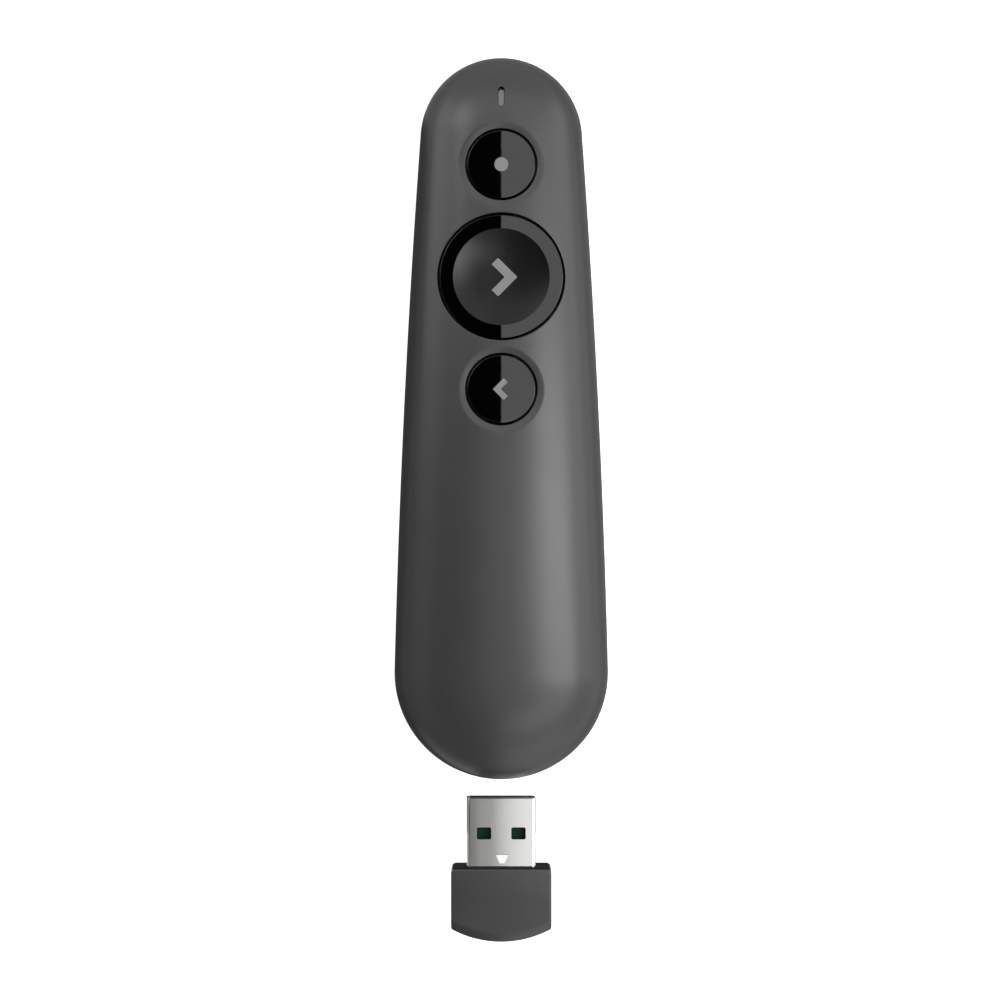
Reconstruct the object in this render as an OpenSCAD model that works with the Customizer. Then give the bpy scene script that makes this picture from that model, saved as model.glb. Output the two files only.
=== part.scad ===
// Wireless presentation clicker with its USB receiver pulled out of the tail.
// Millimetres. It lies on its back: +Z up through the buttons, +Y towards the laser.
// The origin is under the middle of the clicker and its receiver, on the table.

/* [Body] */
// Length of the clicker without the receiver
body_l = 123.7; // [122:0.1:127]
// Height of the crown above the table
body_h = 25; // [24.6:0.1:26.5]
// Radius of the nose seen from above
nose_r = 13.9; // [13.6:0.1:14.4]
// Radius of the tail seen from above
tail_r = 18.35; // [18:0.05:19.2]
// Radius of the long arc of each side
side_r = 1950; // [1500:50:4000]
// Height of the parting line between the shells
part_z = 11; // [10.9:0.1:11.6]
// Squareness of the domed top, 2 is an ellipse
dome_n = 2.6; // [2.4:0.05:2.8]
// Squareness of the lower sides
tub_n = 2.4; // [2.2:0.05:2.8]
// Share of the width that is flat underneath
land = 0.72; // [0.7:0.01:0.76]
// Radius of the lengthwise arch of the crown
crown_r = 900; // [800:10:1400]
// Place of the crown's highest point, from the nose
crown_from_nose = 71.2; // [66:0.1:80]
// Thickness of the shell walls
wall = 1.8; // [1.5:0.1:1.9]
// Thickness of the lower shell's floor
floor_t = 2.2; // [2:0.1:2.4]

/* [Finger rest] */
// Height of the step in front of the battery door
step_h = 2.4; // [2:0.1:2.6]
// Length of the step's slope
step_run = 1.2; // [0.8:0.1:2]
// Further rise of the underside at the nose
nose_rise = 2.2; // [1:0.1:2.4]

/* [Buttons] */
// Middle of the big button, from the nose
next_from_nose = 38.4; // [38:0.1:39]
// Distance between the middles of neighbouring buttons
button_pitch = 18.85; // [18.7:0.05:19.2]
// Radius of the big button
big_r = 10.3; // [9.8:0.05:10.4]
// Radius of the small buttons
small_r = 5.65; // [5.4:0.05:5.8]
// Gap between a button and its hole
button_gap = 0.4; // [0.3:0.05:0.6]
// How deep the big button's face lies under the crown
big_sunk = 0.9; // [0.7:0.05:1.1]
// How deep the small buttons' faces lie under the crown
small_sunk = 0.45; // [0.35:0.05:0.8]
// Width of the sloped ring around a small button
ring_w = 1.1; // [0.8:0.05:1.2]
// Radius of the dish in the big button
dish_r = 8.1; // [7.5:0.05:8.5]
// Depth of the dish in the big button
dish_d = 0.9; // [0.6:0.05:1]
// Height of a button's skirt
skirt_h = 3.4; // [3:0.1:3.6]
// Wall of a button
button_wall = 1.2; // [1:0.05:1.4]
// Travel of each button
travel = 0.6; // [0.4:0.05:0.7]
// Width of the tab that holds a button under the shell
tab_w = 4; // [3:0.1:5]
// Reach of that tab beyond the hole
tab_reach = 1; // [0.8:0.05:1.2]
// Thickness of that tab
tab_t = 0.9; // [0.7:0.05:1.1]
// Radius of the stem under a button
stem_r = 1.5; // [1.2:0.05:1.8]
// Length of the shortest stem
stem_l = 0.8; // [0.6:0.05:0.9]

/* [Marks] */
// Radius of the dot
dot_r = 1.17; // [1:0.01:1.4]
// Half height of the big arrow
next_arrow_h = 3.24; // [2.8:0.02:3.6]
// Stroke of the big arrow
next_arrow_s = 1.52; // [1.2:0.02:1.7]
// Tip of the big arrow beyond the button's middle
next_arrow_tip = 2.7; // [2.3:0.02:3]
// Half height of the small arrow
back_arrow_h = 1.84; // [1.6:0.02:2.1]
// Stroke of the small arrow
back_arrow_s = 0.95; // [0.8:0.01:1.1]
// Tip of the small arrow beyond the button's middle
back_arrow_tip = 1.43; // [1.2:0.01:1.6]
// Depth of the coloured marks
mark_t = 0.3; // [0.2:0.05:0.4]

/* [Status light] */
// Middle of the light slot, from the nose
light_from_nose = 8; // [7.8:0.1:8.8]
// Width of the light slot
light_w = 1.1; // [0.9:0.05:1.3]
// Length of the light slot
light_l = 3.4; // [3:0.05:3.7]
// How deep the light pipe lies in its slot
light_sunk = 0.35; // [0.2:0.05:0.5]
// Clearance around the light pipe
light_fit = 0.05; // [0.03:0.01:0.1]

/* [Receiver] */
// Gap between the tail and the plug's mouth
dock_gap = 4; // [2:0.1:12]
// Length of the plug outside its head
plug_l = 12; // [11.8:0.05:12.6]
// Width of the plug
plug_w = 12; // [11.9:0.01:12.1]
// Height of the plug
plug_h = 4.5; // [4.4:0.01:4.6]
// Sheet thickness of the plug
sheet_t = 0.3; // [0.25:0.01:0.35]
// Length of the head
head_l = 13; // [12:0.05:13.5]
// Width of the head
head_w = 17.45; // [17:0.05:18]
// Thickness of the head
head_h = 8; // [7.6:0.05:8.1]
// Wall of the head
head_wall = 1; // [0.8:0.05:1.1]
// Wall of the head's rounded end
head_end_wall = 3.6; // [3.4:0.1:4.4]
// Front wall of the head
head_front_wall = 1.6; // [1.2:0.05:1.8]
// Length of plug held inside the head
plug_root = 2.5; // [2:0.05:3]
// Depth of the bevel on the head's end
bevel_in = 1.3; // [0.8:0.05:1.6]
// Height of the bevel on the head's end
bevel_h = 0.9; // [0.5:0.05:1.2]
// Width of each window in the plug
window_w = 2.5; // [2.2:0.05:2.7]
// Length of each window in the plug
window_l = 2.1; // [1.8:0.05:2.3]
// Distance of the windows from the middle
window_x = 3; // [2.8:0.05:3.1]
// Distance of the windows from the mouth
window_back = 6.1; // [5.6:0.05:6.5]
// Thickness of the tongue in the plug
tongue_t = 1.9; // [1.7:0.05:2]
// Depth of the tongue's edge behind the mouth
tongue_back = 0.4; // [0.2:0.05:0.8]
// Clearance around the receiver in its dock
dock_fit = 0.15; // [0.1:0.01:0.2]
// Wall beyond the end of the plug's socket
socket_end = 1.3; // [1.2:0.05:1.4]
// Thickness of the dock's side walls
dock_wall = 1.3; // [1:0.05:1.5]
// Thickness of the dock's roof
dock_roof = 2.6; // [2.3:0.05:2.7]

/* [Battery bay] */
// Diameter of a cell
cell_d = 10.5; // [10.1:0.05:10.5]
// Length of a cell with its button
cell_l = 44.5; // [43.3:0.1:44.5]
// Radius of a cell's button
nub_r = 1.9; // [1.7:0.05:1.9]
// Height of a cell's button
nub_h = 0.8; // [0.8:0.05:1]
// Gap between the two cells
cell_gap = 0.4; // [0.3:0.05:0.5]
// Compressed length of a contact spring
spring_l = 4.3; // [4:0.05:4.6]
// Wire diameter of a contact spring
spring_wire = 0.6; // [0.5:0.05:0.7]
// Turns of a contact spring
spring_turns = 3; // [3:1:4]
// Thickness of the contact sheets
contact_t = 0.4; // [0.3:0.05:0.5]
// Width of the door
door_w = 22.4; // [22.3:0.05:22.6]
// Thickness of the door
door_t = 1.6; // [1.5:0.05:1.7]
// Wall between the dock and the door
rear_wall = 1; // [0.8:0.05:1.2]
// Distance from the bay's front wall to the door's front edge
door_lip = 6; // [5.9:0.1:6.5]
// Reach of the door's side tongues
rail_w = 1; // [0.8:0.05:1.1]
// Thickness of the door's side tongues
rail_t = 0.7; // [0.6:0.05:0.75]
// Clearance around the door
door_fit = 0.15; // [0.1:0.01:0.2]

/* [Inside] */
// Clearance between loose pieces
loose = 0.3; // [0.25:0.01:0.35]
// Thickness of the inner frame
frame_t = 1.2; // [1.1:0.05:1.4]
// Wall of the battery tray
tray_wall = 1; // [0.9:0.05:1]
// Clearance beside the cells
cell_side = 0.2; // [0.15:0.05:0.3]
// Height of the pads under the board
pad_h = 0.6; // [0.5:0.05:0.8]
// Thickness of the board
board_t = 1; // [0.8:0.05:1.2]
// Half width of the board
board_half = 9.5; // [9.3:0.05:9.7]
// Length of the board
board_l = 78.3; // [77:0.1:79.5]
// Distance from the nose to the board
board_from_nose = 6.3; // [6.1:0.05:6.5]
// Width of a button switch
switch_w = 5.2; // [4.8:0.05:5.4]
// Height of a button switch's case
switch_h = 1.6; // [1.4:0.05:1.8]
// Radius of a switch's plunger
plunger_r = 1.3; // [1.1:0.05:1.4]
// Height of a plunger above its case
plunger_up = 0.75; // [0.7:0.05:0.85]
// Width of the rib between the cells
rib_w = 1.6; // [1.2:0.1:1.8]
// Radius of the shell bosses
boss_r = 2.2; // [2:0.05:2.3]
// Depth of a screw's thread in its boss
thread_l = 4; // [3.5:0.1:4.5]
// Radius of a screw
screw_r = 0.9; // [0.8:0.01:0.95]
// Radius of a screw head
screw_head_r = 1.8; // [1.7:0.01:1.85]
// Height of a screw head
screw_head_h = 1.2; // [1:0.05:1.25]
// Radius of the laser barrel
barrel_r = 3; // [2.9:0.01:3.05]
// Length of the laser barrel
barrel_l = 10.5; // [9.5:0.1:11]
// Wall of the laser barrel
barrel_wall = 0.9; // [0.8:0.05:1]
// Radius of the window ring in the nose
bezel_r = 3.35; // [3.2:0.01:3.4]
// Length of the window ring
bezel_l = 3.4; // [3.2:0.05:3.6]
// Radius of the laser window
pane_r = 2.15; // [2:0.01:2.3]
// Thickness of the laser window
pane_t = 0.8; // [0.7:0.05:1]
// How deep the window lies in its ring
pane_sunk = 0.9; // [0.5:0.05:1]

/* [Hidden] */

$fn = 72;
// Overlap that makes joined solids one.
eps = 0.1;
// How far a cut runs past what it cuts.
past = 1;

// Lengthwise places, from the nose back to the receiver's end.
total_l = body_l + dock_gap + plug_l + head_l;
nose_y = total_l / 2;
tail_y = nose_y - body_l;
nose_c = nose_y - nose_r;
tail_c = tail_y + tail_r;
crown_y = nose_y - crown_from_nose;
mouth_y = tail_y - dock_gap;
head_front = mouth_y - plug_l;
head_end = head_front - head_l;

// The long arc of a side touches the nose and tail circles from outside.
side_cy = (nose_c + tail_c - (pow(side_r - nose_r, 2) - pow(side_r - tail_r, 2)) / (nose_c - tail_c)) / 2;
side_cx = -sqrt(pow(side_r - tail_r, 2) - pow(side_cy - tail_c, 2));
tail_a = asin((tail_c - side_cy) / (side_r - tail_r));
nose_a = asin((nose_c - side_cy) / (side_r - nose_r));

// Dock, battery bay and door.
notch_end = tail_y + head_l + dock_fit;
socket_y = notch_end + plug_l + dock_fit;
dock_end = socket_y + socket_end;
roof_z = head_h + dock_fit;
dock_half = head_w / 2 + dock_fit;
socket_half = plug_w / 2 + dock_fit;
plug_z = (head_h - plug_h) / 2;
door_y0 = dock_end + rear_wall;
tray_y0 = door_y0 + loose;
bay_y0 = tray_y0 + tray_wall;
bay_y1 = bay_y0 + 2 * contact_t + spring_l + cell_l;
tray_y1 = bay_y1 + tray_wall;
door_y1 = tray_y1 + door_lip;
step_y = door_y1 + door_fit;
door_half = door_w / 2;
rail_up = 0.2;
rail_z = door_t - rail_t - rail_up;
cell_r = cell_d / 2;
cell_x = cell_r + cell_gap / 2;
cell_z = door_t + loose + cell_r;
tray_half = cell_x + cell_r + cell_side;
frame_half = tray_half + tray_wall;

// Buttons and status light.
next_y = nose_y - next_from_nose;
laser_y = next_y + button_pitch;
back_y = next_y - button_pitch;
light_y = nose_y - light_from_nose;
next_face = crown(next_y) - big_sunk;
laser_face = crown(laser_y) - small_sunk;
back_face = crown(back_y) - small_sunk;

// The status light: the diode on the board, and the collar that stops its pipe under the nose.
led = [1, 1.8, 0.5];
led_gap = 0.1;
collar_w = 0.8;
collar_t = 0.5;
collar_z = nose_line(light_y + light_l / 2 + collar_w, wall) - loose;

// Heights of the stack inside, which hangs from the top shell: from the lowest button's stem, or from
// the light pipe's collar where that is lower, down over plunger, switch, board and pads to the frame.
plunger_z = min(
    min(laser_face, back_face, next_face - dish_d) - button_wall - stem_l,
    collar_z - collar_t - led_gap - led.z + switch_h + plunger_up
);
case_z = plunger_z - plunger_up;
deck_z = case_z - switch_h;
board_z = deck_z - board_t;
pad_z = board_z - pad_h;
frame_z = pad_z - frame_t;
plunger_foot = 0.5;
plunger_fit = 0.15;

// Screws: four hold the frame to the top shell, two close the lower shell.
screw_x = 9.5;
front_screw_shift = 0.7;
rear_screw_back = 5.3;
tail_screw_in = 6.6;
front_screw_y = (laser_y + next_y) / 2 + front_screw_shift;
rear_screw_y = dock_end - rear_screw_back;
frame_screw_spots = [for (x = [-screw_x, screw_x], y = [front_screw_y, rear_screw_y]) [x, y]];
case_screw_y = (tray_y1 + door_y1) / 2;
tail_screw_y = tail_y + tail_screw_in;
bridge_t = 2.6;
bridge_side = 1;
bridge_z = door_t + door_fit;
bridge_top = bridge_z + bridge_t;
bridge_half = frame_half + bridge_side;
tip_gap = 0.5;
screw_fit = 0.02;
screw_hole = 0.25;

// Board outline and the laser's place.
board_y1 = nose_y - board_from_nose;
board_y0 = board_y1 - board_l;
board_corner = 6;
bezel_y1 = nose_y;
bezel_y0 = bezel_y1 - bezel_l;
pane_y1 = nose_c + sqrt(nose_r * nose_r - bezel_r * bezel_r) - pane_sunk;
pane_y0 = pane_y1 - pane_t;
barrel_y1 = bezel_y0;
barrel_y0 = barrel_y1 - barrel_l;
seat_fit = 0.03;

// ---- Outer form -------------------------------------------------------------

// A sample of the outline is [angle of its normal, where the normal meets the
// middle line, length of the normal].
function side_sample(y) =
    let (a = asin((y - side_cy) / side_r), x = side_cx + side_r * cos(a))
    [a, y - x * tan(a), x / cos(a)];

side_y0 = side_cy + side_r * sin(tail_a);
side_y1 = side_cy + side_r * sin(nose_a);
arc_steps = 10;
rear_steps = 5;
front_steps = 4;
samples = concat(
    [for (i = [0:arc_steps]) [-90 + (90 + tail_a) * i / arc_steps, tail_c, tail_r]],
    [for (i = [1:rear_steps]) side_sample(side_y0 + (step_y - side_y0) * i / rear_steps)],
    [for (i = [0:front_steps - 1])
        side_sample(step_y + step_run + (side_y1 - step_y - step_run) * i / front_steps)],
    [for (i = [0:arc_steps]) [nose_a + (90 - nose_a) * i / arc_steps, nose_c, nose_r]]
);
ring_n = 2 * (len(samples) - 1);

function crown(y) = body_h - crown_r + sqrt(crown_r * crown_r - pow(y - crown_y, 2));
function under(y) =
    y < step_y + step_run / 2 ? 0
    : step_h + nose_rise * pow(max(0, y - step_y - step_run) / (nose_y - step_y - step_run), 2);

dome_ts = [0, 8, 16, 24, 32, 40, 48, 56, 64, 72, 80, 86];
tub_ts = [0, 12, 24, 36, 48, 60, 70, 80, 90];

function dome_z(y, g, inset) = part_z + (crown(y) - inset - part_z) * g;
function tub_z(y, g, deep) = part_z - (part_z - under(y) - deep) * g;
function both_sides(right) =
    concat(right, [for (i = [len(right) - 2:-1:1]) [-right[i].x, right[i].y, right[i].z]]);
function dome_ring(t, inset) = both_sides([
    for (s = samples)
        let (f = pow(cos(t), 2 / dome_n), r = (s[2] - inset) * f, y = s[1] + r * sin(s[0]))
        [s[0] == 90 || s[0] == -90 ? 0 : r * cos(s[0]), y, dome_z(y, pow(sin(t), 2 / dome_n), inset)]
]);
function tub_ring(t, inset, deep) = both_sides([
    for (s = samples)
        let (f = land + (1 - land) * pow(max(0, cos(t)), 2 / tub_n), r = (s[2] - inset) * f)
        let (y = s[1] + r * sin(s[0]))
        [s[0] == 90 || s[0] == -90 ? 0 : r * cos(s[0]), y, tub_z(y, pow(sin(t), 2 / tub_n), deep)]
]);
function flat(lists) = [for (l = lists) each l];
function turned(faces, turn) = turn ? [for (f = faces) [f[2], f[1], f[0]]] : faces;
function band(a, b, turn) = turned(flat([
    for (i = [0:ring_n - 1])
        let (j = (i + 1) % ring_n)
        [[a * ring_n + i, b * ring_n + i, b * ring_n + j], [a * ring_n + i, b * ring_n + j, a * ring_n + j]]
]), turn);
// Closes ring k with strips that run straight across.
function lid(k, turn) =
    let (o = k * ring_n, m = ring_n / 2)
    turned(concat(
        [[o + ring_n - 1, o + 1, o]],
        flat([for (i = [1:m - 2])
            [[o + ring_n - i, o + i + 1, o + i], [o + ring_n - i, o + ring_n - i - 1, o + i + 1]]]),
        [[o + m + 1, o + m, o + m - 1]]
    ), turn);
function bands(k, count, turn) = flat([for (i = [k:k + count - 2]) band(i, i + 1, turn)]);

// A skin of two surfaces, joined at the parting line.
module skin(outer, inner, turn) {
    n = len(outer);
    polyhedron(
        points = concat(flat(outer), flat(inner)),
        faces = concat(
            bands(0, n, turn), lid(n - 1, turn),
            bands(n, n, !turn), lid(2 * n - 1, !turn),
            band(0, n, !turn)
        )
    );
}
module solid_form(rings, turn) {
    n = len(rings);
    polyhedron(points = flat(rings), faces = concat(bands(0, n, turn), lid(n - 1, turn), lid(0, !turn)));
}
module dome_form(inset) solid_form([for (t = dome_ts) dome_ring(t, inset)], false);
module tub_form(inset, deep) solid_form([for (t = tub_ts) tub_ring(t, inset, deep)], true);

module block(x0, x1, y0, y1, z0, z1) translate([x0, y0, z0]) cube([x1 - x0, y1 - y0, z1 - z0]);
module post(x, y, z0, z1, r) translate([x, y, z0]) cylinder(r = r, h = z1 - z0);
module along_y(y0, y1, z, r) translate([0, y0, z]) rotate([-90, 0, 0]) cylinder(r = r, h = y1 - y0);

// ---- Shells -----------------------------------------------------------------

module light_slot(w, l, h) linear_extrude(h) {
    translate([0, (l - w) / 2]) circle(d = w);
    translate([0, (w - l) / 2]) circle(d = w);
    square([w, l - w], center = true);
}

// The hole of a small button, with the sloped ring around it.
module small_hole(y) {
    r = small_r + button_gap;
    low = crown(y) - small_sunk - eps;
    post(0, y, part_z, low + eps, r);
    translate([0, y, low]) cylinder(r1 = r, r2 = r + ring_w, h = crown(y) - low);
    post(0, y, crown(y) - eps / 2, body_h + past, r + ring_w);
}

module top_shell() color("#4b4b4c") difference() {
    union() {
        skin([for (t = dome_ts) dome_ring(t, 0)], [for (t = dome_ts) dome_ring(t, wall)], false);
        intersection() {
            union() {
                for (s = frame_screw_spots) post(s.x, s.y, pad_z, body_h, boss_r);
                post(0, tail_screw_y, roof_z + dock_roof, body_h, boss_r);
            }
            dome_form(wall / 3);
        }
    }
    small_hole(laser_y);
    small_hole(back_y);
    post(0, next_y, part_z, body_h + past, big_r + button_gap);
    translate([0, light_y, part_z]) light_slot(light_w, light_l, body_h);
    for (s = frame_screw_spots) post(s.x, s.y, pad_z - eps, pad_z + thread_l, screw_r + screw_fit);
    post(0, tail_screw_y, roof_z, roof_z + dock_roof + thread_l, screw_r + screw_fit);
    along_y(barrel_y0, nose_y + past, part_z, bezel_r + seat_fit);
}

// Ribs that carry the laser barrel, and posts that carry the front of the board.
rib_t = 1.4;
rib_in = 1.6;
rib_half = barrel_r + rib_t;
rib_ys = [barrel_y0 + rib_in, barrel_y1 - rib_t - rib_in];
board_post_x = 6.6;
board_post_in = 3.4;
board_post_y = barrel_y0 + board_post_in;
board_post_r = 1.1;

module lower_shell() color("#464647") difference() {
    union() {
        skin([for (t = tub_ts) tub_ring(t, 0, 0)], [for (t = tub_ts) tub_ring(t, wall, floor_t)], true);
        intersection() {
            union() {
                block(-dock_half - dock_wall, dock_half + dock_wall, tail_y - past, notch_end + dock_wall,
                    0, roof_z + dock_roof);
                block(-socket_half - dock_wall, socket_half + dock_wall, notch_end, dock_end,
                    0, plug_z + plug_h + dock_fit + dock_wall);
            }
            tub_form(wall / 3, floor_t / 3);
        }
        block(-bridge_half, bridge_half, tray_y1 + loose, door_y1 - eps, bridge_z, bridge_top);
        for (y = rib_ys) block(-rib_half, rib_half, y, y + rib_t, under(y) + floor_t / 2, part_z);
        for (x = [-board_post_x, board_post_x])
            post(x, board_post_y, under(board_post_y) + floor_t / 2, board_z, board_post_r);
    }
    // Receiver dock: a notch for the head, open below and behind, and a socket for the plug.
    block(-dock_half, dock_half, tail_y - 2 * past, notch_end, -past, roof_z);
    block(-socket_half, socket_half, notch_end - eps, socket_y,
        plug_z - dock_fit, plug_z + plug_h + dock_fit);
    // Battery opening, and the channel that the door runs out of.
    block(-door_half - door_fit, door_half + door_fit, door_y0, tray_y1 + loose, -past, floor_t + eps);
    block(-door_half - door_fit, door_half + door_fit, door_y0, step_y + step_run + past, -past, bridge_z);
    block(-door_half - rail_w - door_fit, door_half + rail_w + door_fit, door_y0, step_y + step_run + past,
        rail_z - door_fit, rail_z + rail_t + door_fit);
    // Screw holes.
    post(0, case_screw_y, bridge_z - eps, bridge_z + screw_head_h + eps, screw_head_r + screw_hole);
    post(0, case_screw_y, bridge_z, bridge_top + eps, screw_r + screw_hole);
    post(0, tail_screw_y, roof_z - eps, roof_z + screw_head_h + eps, screw_head_r + screw_hole);
    post(0, tail_screw_y, roof_z, roof_z + dock_roof + eps, screw_r + screw_hole);
    // Laser.
    along_y(barrel_y0 - past, barrel_y1 + eps, part_z, barrel_r + seat_fit);
    along_y(barrel_y1, nose_y + past, part_z, bezel_r + seat_fit);
}

// ---- Inner frame and battery bay --------------------------------------------

screw_edge = 3.3;
frame_y0 = rear_screw_y - screw_edge;
frame_y1 = front_screw_y + screw_edge;
pad_x = 6.5;
pad_r = 1.2;
pad_in = 3;
pad_side = 8;
pad_ys = [board_y0 + pad_in, back_y - pad_side, back_y + pad_side, frame_y1 - pad_r];
tab_half = 1;
sheet_half = 4.2;
sheet_up = 4;
sheet_z0 = cell_z - sheet_up;
sheet_z1 = cell_z + sheet_up;
rib_up = 3.4;
// The tray's side walls end this far above the floor, clear of its rounded edge.
side_lift = 1.2;

module inner_frame() color("#2f3032") difference() {
    union() {
        block(-frame_half, frame_half, frame_y0, frame_y1, frame_z, pad_z);
        for (x = [-frame_half, tray_half])
            block(x, x + tray_wall, tray_y0, tray_y1, floor_t + side_lift, frame_z + eps);
        block(-frame_half, frame_half, tray_y0, bay_y0, floor_t + loose, frame_z + eps);
        block(-frame_half, frame_half, bay_y1, tray_y1, bridge_top, frame_z + eps);
        block(-door_half + loose, door_half - loose, bay_y1, tray_y1, floor_t + loose, bridge_top + eps);
        block(-rib_w / 2, rib_w / 2, bay_y0 + contact_t + loose, bay_y1 + eps,
            cell_z + rib_up, frame_z + eps);
        post(0, case_screw_y, bridge_top, frame_z + eps, boss_r);
        for (x = [-pad_x, pad_x], y = pad_ys) post(x, y, pad_z - eps, board_z, pad_r);
    }
    for (s = frame_screw_spots) post(s.x, s.y, frame_z - eps, pad_z + eps, screw_r + screw_hole);
    post(0, case_screw_y, bridge_top - eps, frame_z, screw_r + screw_fit);
    for (x = [-cell_x, cell_x]) block(x - tab_half - loose, x + tab_half + loose,
        bay_y1 - contact_t - loose, bay_y1 + eps, frame_z - eps, pad_z + eps);
}

grip_n = 4;
grip_pitch = 1.8;
grip_w = 0.8;
grip_d = 0.4;
grip_half = 6;
grip_in = 4;

module battery_door() color("#454546") difference() {
    union() {
        block(-door_half, door_half, door_y0 + door_fit, door_y1, 0, door_t);
        block(-door_half - rail_w, door_half + rail_w, door_y0 + door_fit, door_y1,
            rail_z, rail_z + rail_t);
    }
    for (i = [0:grip_n - 1]) let (y = door_y1 - grip_in - i * grip_pitch)
        block(-grip_half, grip_half, y, y + grip_w, -eps, grip_d);
}

cell_bevel = 0.4;

// A cell from its flat end at y = 0 to its button.
module cell() {
    rotate([-90, 0, 0]) rotate_extrude() polygon([
        [0, 0], [cell_r - cell_bevel, 0], [cell_r, cell_bevel], [cell_r, cell_l - nub_h - cell_bevel],
        [cell_r - cell_bevel, cell_l - nub_h], [nub_r, cell_l - nub_h], [nub_r, cell_l], [0, cell_l]
    ]);
}
module battery_left() color("#8a8d90")
    translate([-cell_x, bay_y0 + contact_t + spring_l, cell_z]) cell();
module battery_right() color("#8a8d90")
    translate([cell_x, bay_y1 - contact_t - spring_l, cell_z]) rotate([0, 0, 180]) cell();

module bridge_contact() color("#c9c9c4")
    block(-cell_x - sheet_half, cell_x + sheet_half, bay_y0, bay_y0 + contact_t, sheet_z0, sheet_z1);
module terminal_contacts() color("#c9c9c4") for (x = [-cell_x, cell_x]) {
    block(x - sheet_half, x + sheet_half, bay_y1 - contact_t, bay_y1, sheet_z0, sheet_z1);
    block(x - tab_half, x + tab_half, bay_y1 - contact_t, bay_y1, sheet_z1 - eps, board_z);
}

spring_r0 = 3.3;
spring_r1 = 2.3;
spring_steps = 14;
wire_sides = 6;

// A conical spring along +Y from its sheet to the cell.
module spring() {
    n = spring_steps * spring_turns;
    wire_r = spring_wire / 2;
    rise = spring_l - spring_wire - eps;
    path = [for (i = [0:n])
        let (u = i / n, a = 360 * i / spring_steps, r = spring_r0 + (spring_r1 - spring_r0) * u)
        [r * cos(a), wire_r + eps / 2 + rise * u, r * sin(a), a]];
    polyhedron(
        points = flat([for (p = path) [for (k = [0:wire_sides - 1])
            let (b = 360 * k / wire_sides, out = wire_r * cos(b))
            [p.x + out * cos(p[3]), p.y + wire_r * sin(b), p.z + out * sin(p[3])]]]),
        faces = concat(
            [[for (k = [0:wire_sides - 1]) wire_sides - 1 - k]],
            flat([for (i = [0:n - 1], k = [0:wire_sides - 1])
                let (a = i * wire_sides + k, b = i * wire_sides + (k + 1) % wire_sides)
                [[a, b, b + wire_sides], [a, b + wire_sides, a + wire_sides]]]),
            [[for (k = [0:wire_sides - 1]) n * wire_sides + k]]
        )
    );
}
module contact_springs() color("#d8d8d4") {
    translate([-cell_x, bay_y0 + contact_t, cell_z]) spring();
    translate([cell_x, bay_y1 - contact_t, cell_z]) rotate([0, 0, 180]) spring();
}

// ---- Buttons ----------------------------------------------------------------

module chevron(h, s, tip) {
    c = s / sqrt(2);
    polygon([
        [tip, 0], [tip - h, h], [tip - h - c, h - c],
        [tip - 2 * c, 0], [tip - h - c, c - h], [tip - h, -h]
    ]);
}

// A cap with its skirt, stem and two tabs that hold it under the shell.
module cap(y, r, face, deep) {
    hole = r + button_gap;
    tab_z = min(crown(y + hole + tab_reach), crown(y - hole - tab_reach)) - wall - loose;
    difference() {
        union() {
            post(0, y, face - skirt_h, face, r);
            intersection() {
                block(-tab_w / 2, tab_w / 2, y - hole - tab_reach - past, y + hole + tab_reach + past,
                    tab_z - tab_t, tab_z);
                post(0, y, tab_z - tab_t - eps, tab_z + eps, hole + tab_reach);
            }
        }
        post(0, y, face - skirt_h - past, face - deep - button_wall, r - button_wall);
    }
    post(0, y, plunger_z, face - deep - button_wall + eps, stem_r);
}

ball_r = (dish_r * dish_r + dish_d * dish_d) / (2 * dish_d);

module dish() translate([0, next_y, next_face - dish_d + ball_r]) sphere(r = ball_r, $fn = 360);
module next_arrow() translate([0, next_y, next_face - dish_d - mark_t])
    linear_extrude(dish_d + mark_t) chevron(next_arrow_h, next_arrow_s, next_arrow_tip);
module back_arrow() translate([0, back_y, back_face - mark_t]) mirror([1, 0, 0])
    linear_extrude(mark_t) chevron(back_arrow_h, back_arrow_s, back_arrow_tip);

module laser_button() color("#1b1b1c") difference() {
    cap(laser_y, small_r, laser_face, 0);
    post(0, laser_y, laser_face - mark_t, laser_face + past, dot_r);
}
module laser_dot_mark() color("#8b8b8b") post(0, laser_y, laser_face - mark_t, laser_face, dot_r);

module next_button() color("#1b1b1c") difference() {
    cap(next_y, big_r, next_face, dish_d);
    dish();
    next_arrow();
}
module next_arrow_mark() color("#8b8b8b") difference() {
    next_arrow();
    dish();
}

module back_button() color("#1b1b1c") difference() {
    cap(back_y, small_r, back_face, 0);
    back_arrow();
    translate([0, 0, mark_t]) back_arrow();
}
module back_arrow_mark() color("#8b8b8b") back_arrow();

// Each switch has a case with a plunger, which the button's stem rests on.
module plunger(y) color("#c8b9a0") post(0, y, case_z - plunger_foot, plunger_z, plunger_r);
module switch_case(y) color("#3a3a3c") difference() {
    block(-switch_w / 2, switch_w / 2, y - switch_w / 2, y + switch_w / 2, deck_z, case_z);
    post(0, y, case_z - plunger_foot - travel - loose, case_z + eps, plunger_r + plunger_fit);
}
module laser_plunger() plunger(laser_y);
module next_plunger() plunger(next_y);
module back_plunger() plunger(back_y);
module laser_switch() switch_case(laser_y);
module next_switch() switch_case(next_y);
module back_switch() switch_case(back_y);

// ---- Board ------------------------------------------------------------------

boss_room = 0.4;
chip_shift = 1.5;
chip_y = (board_y0 + back_y) / 2 + chip_shift;

module main_board() color("#1f5a3c") difference() {
    translate([0, 0, board_z]) linear_extrude(board_t) polygon([
        [-board_half, board_y0], [board_half, board_y0], [board_half, board_y1 - board_corner],
        [board_half - board_corner, board_y1], [board_corner - board_half, board_y1],
        [-board_half, board_y1 - board_corner]
    ]);
    for (x = [-screw_x, screw_x]) post(x, front_screw_y, board_z - eps, deck_z + eps, boss_r + boss_room);
}

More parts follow.
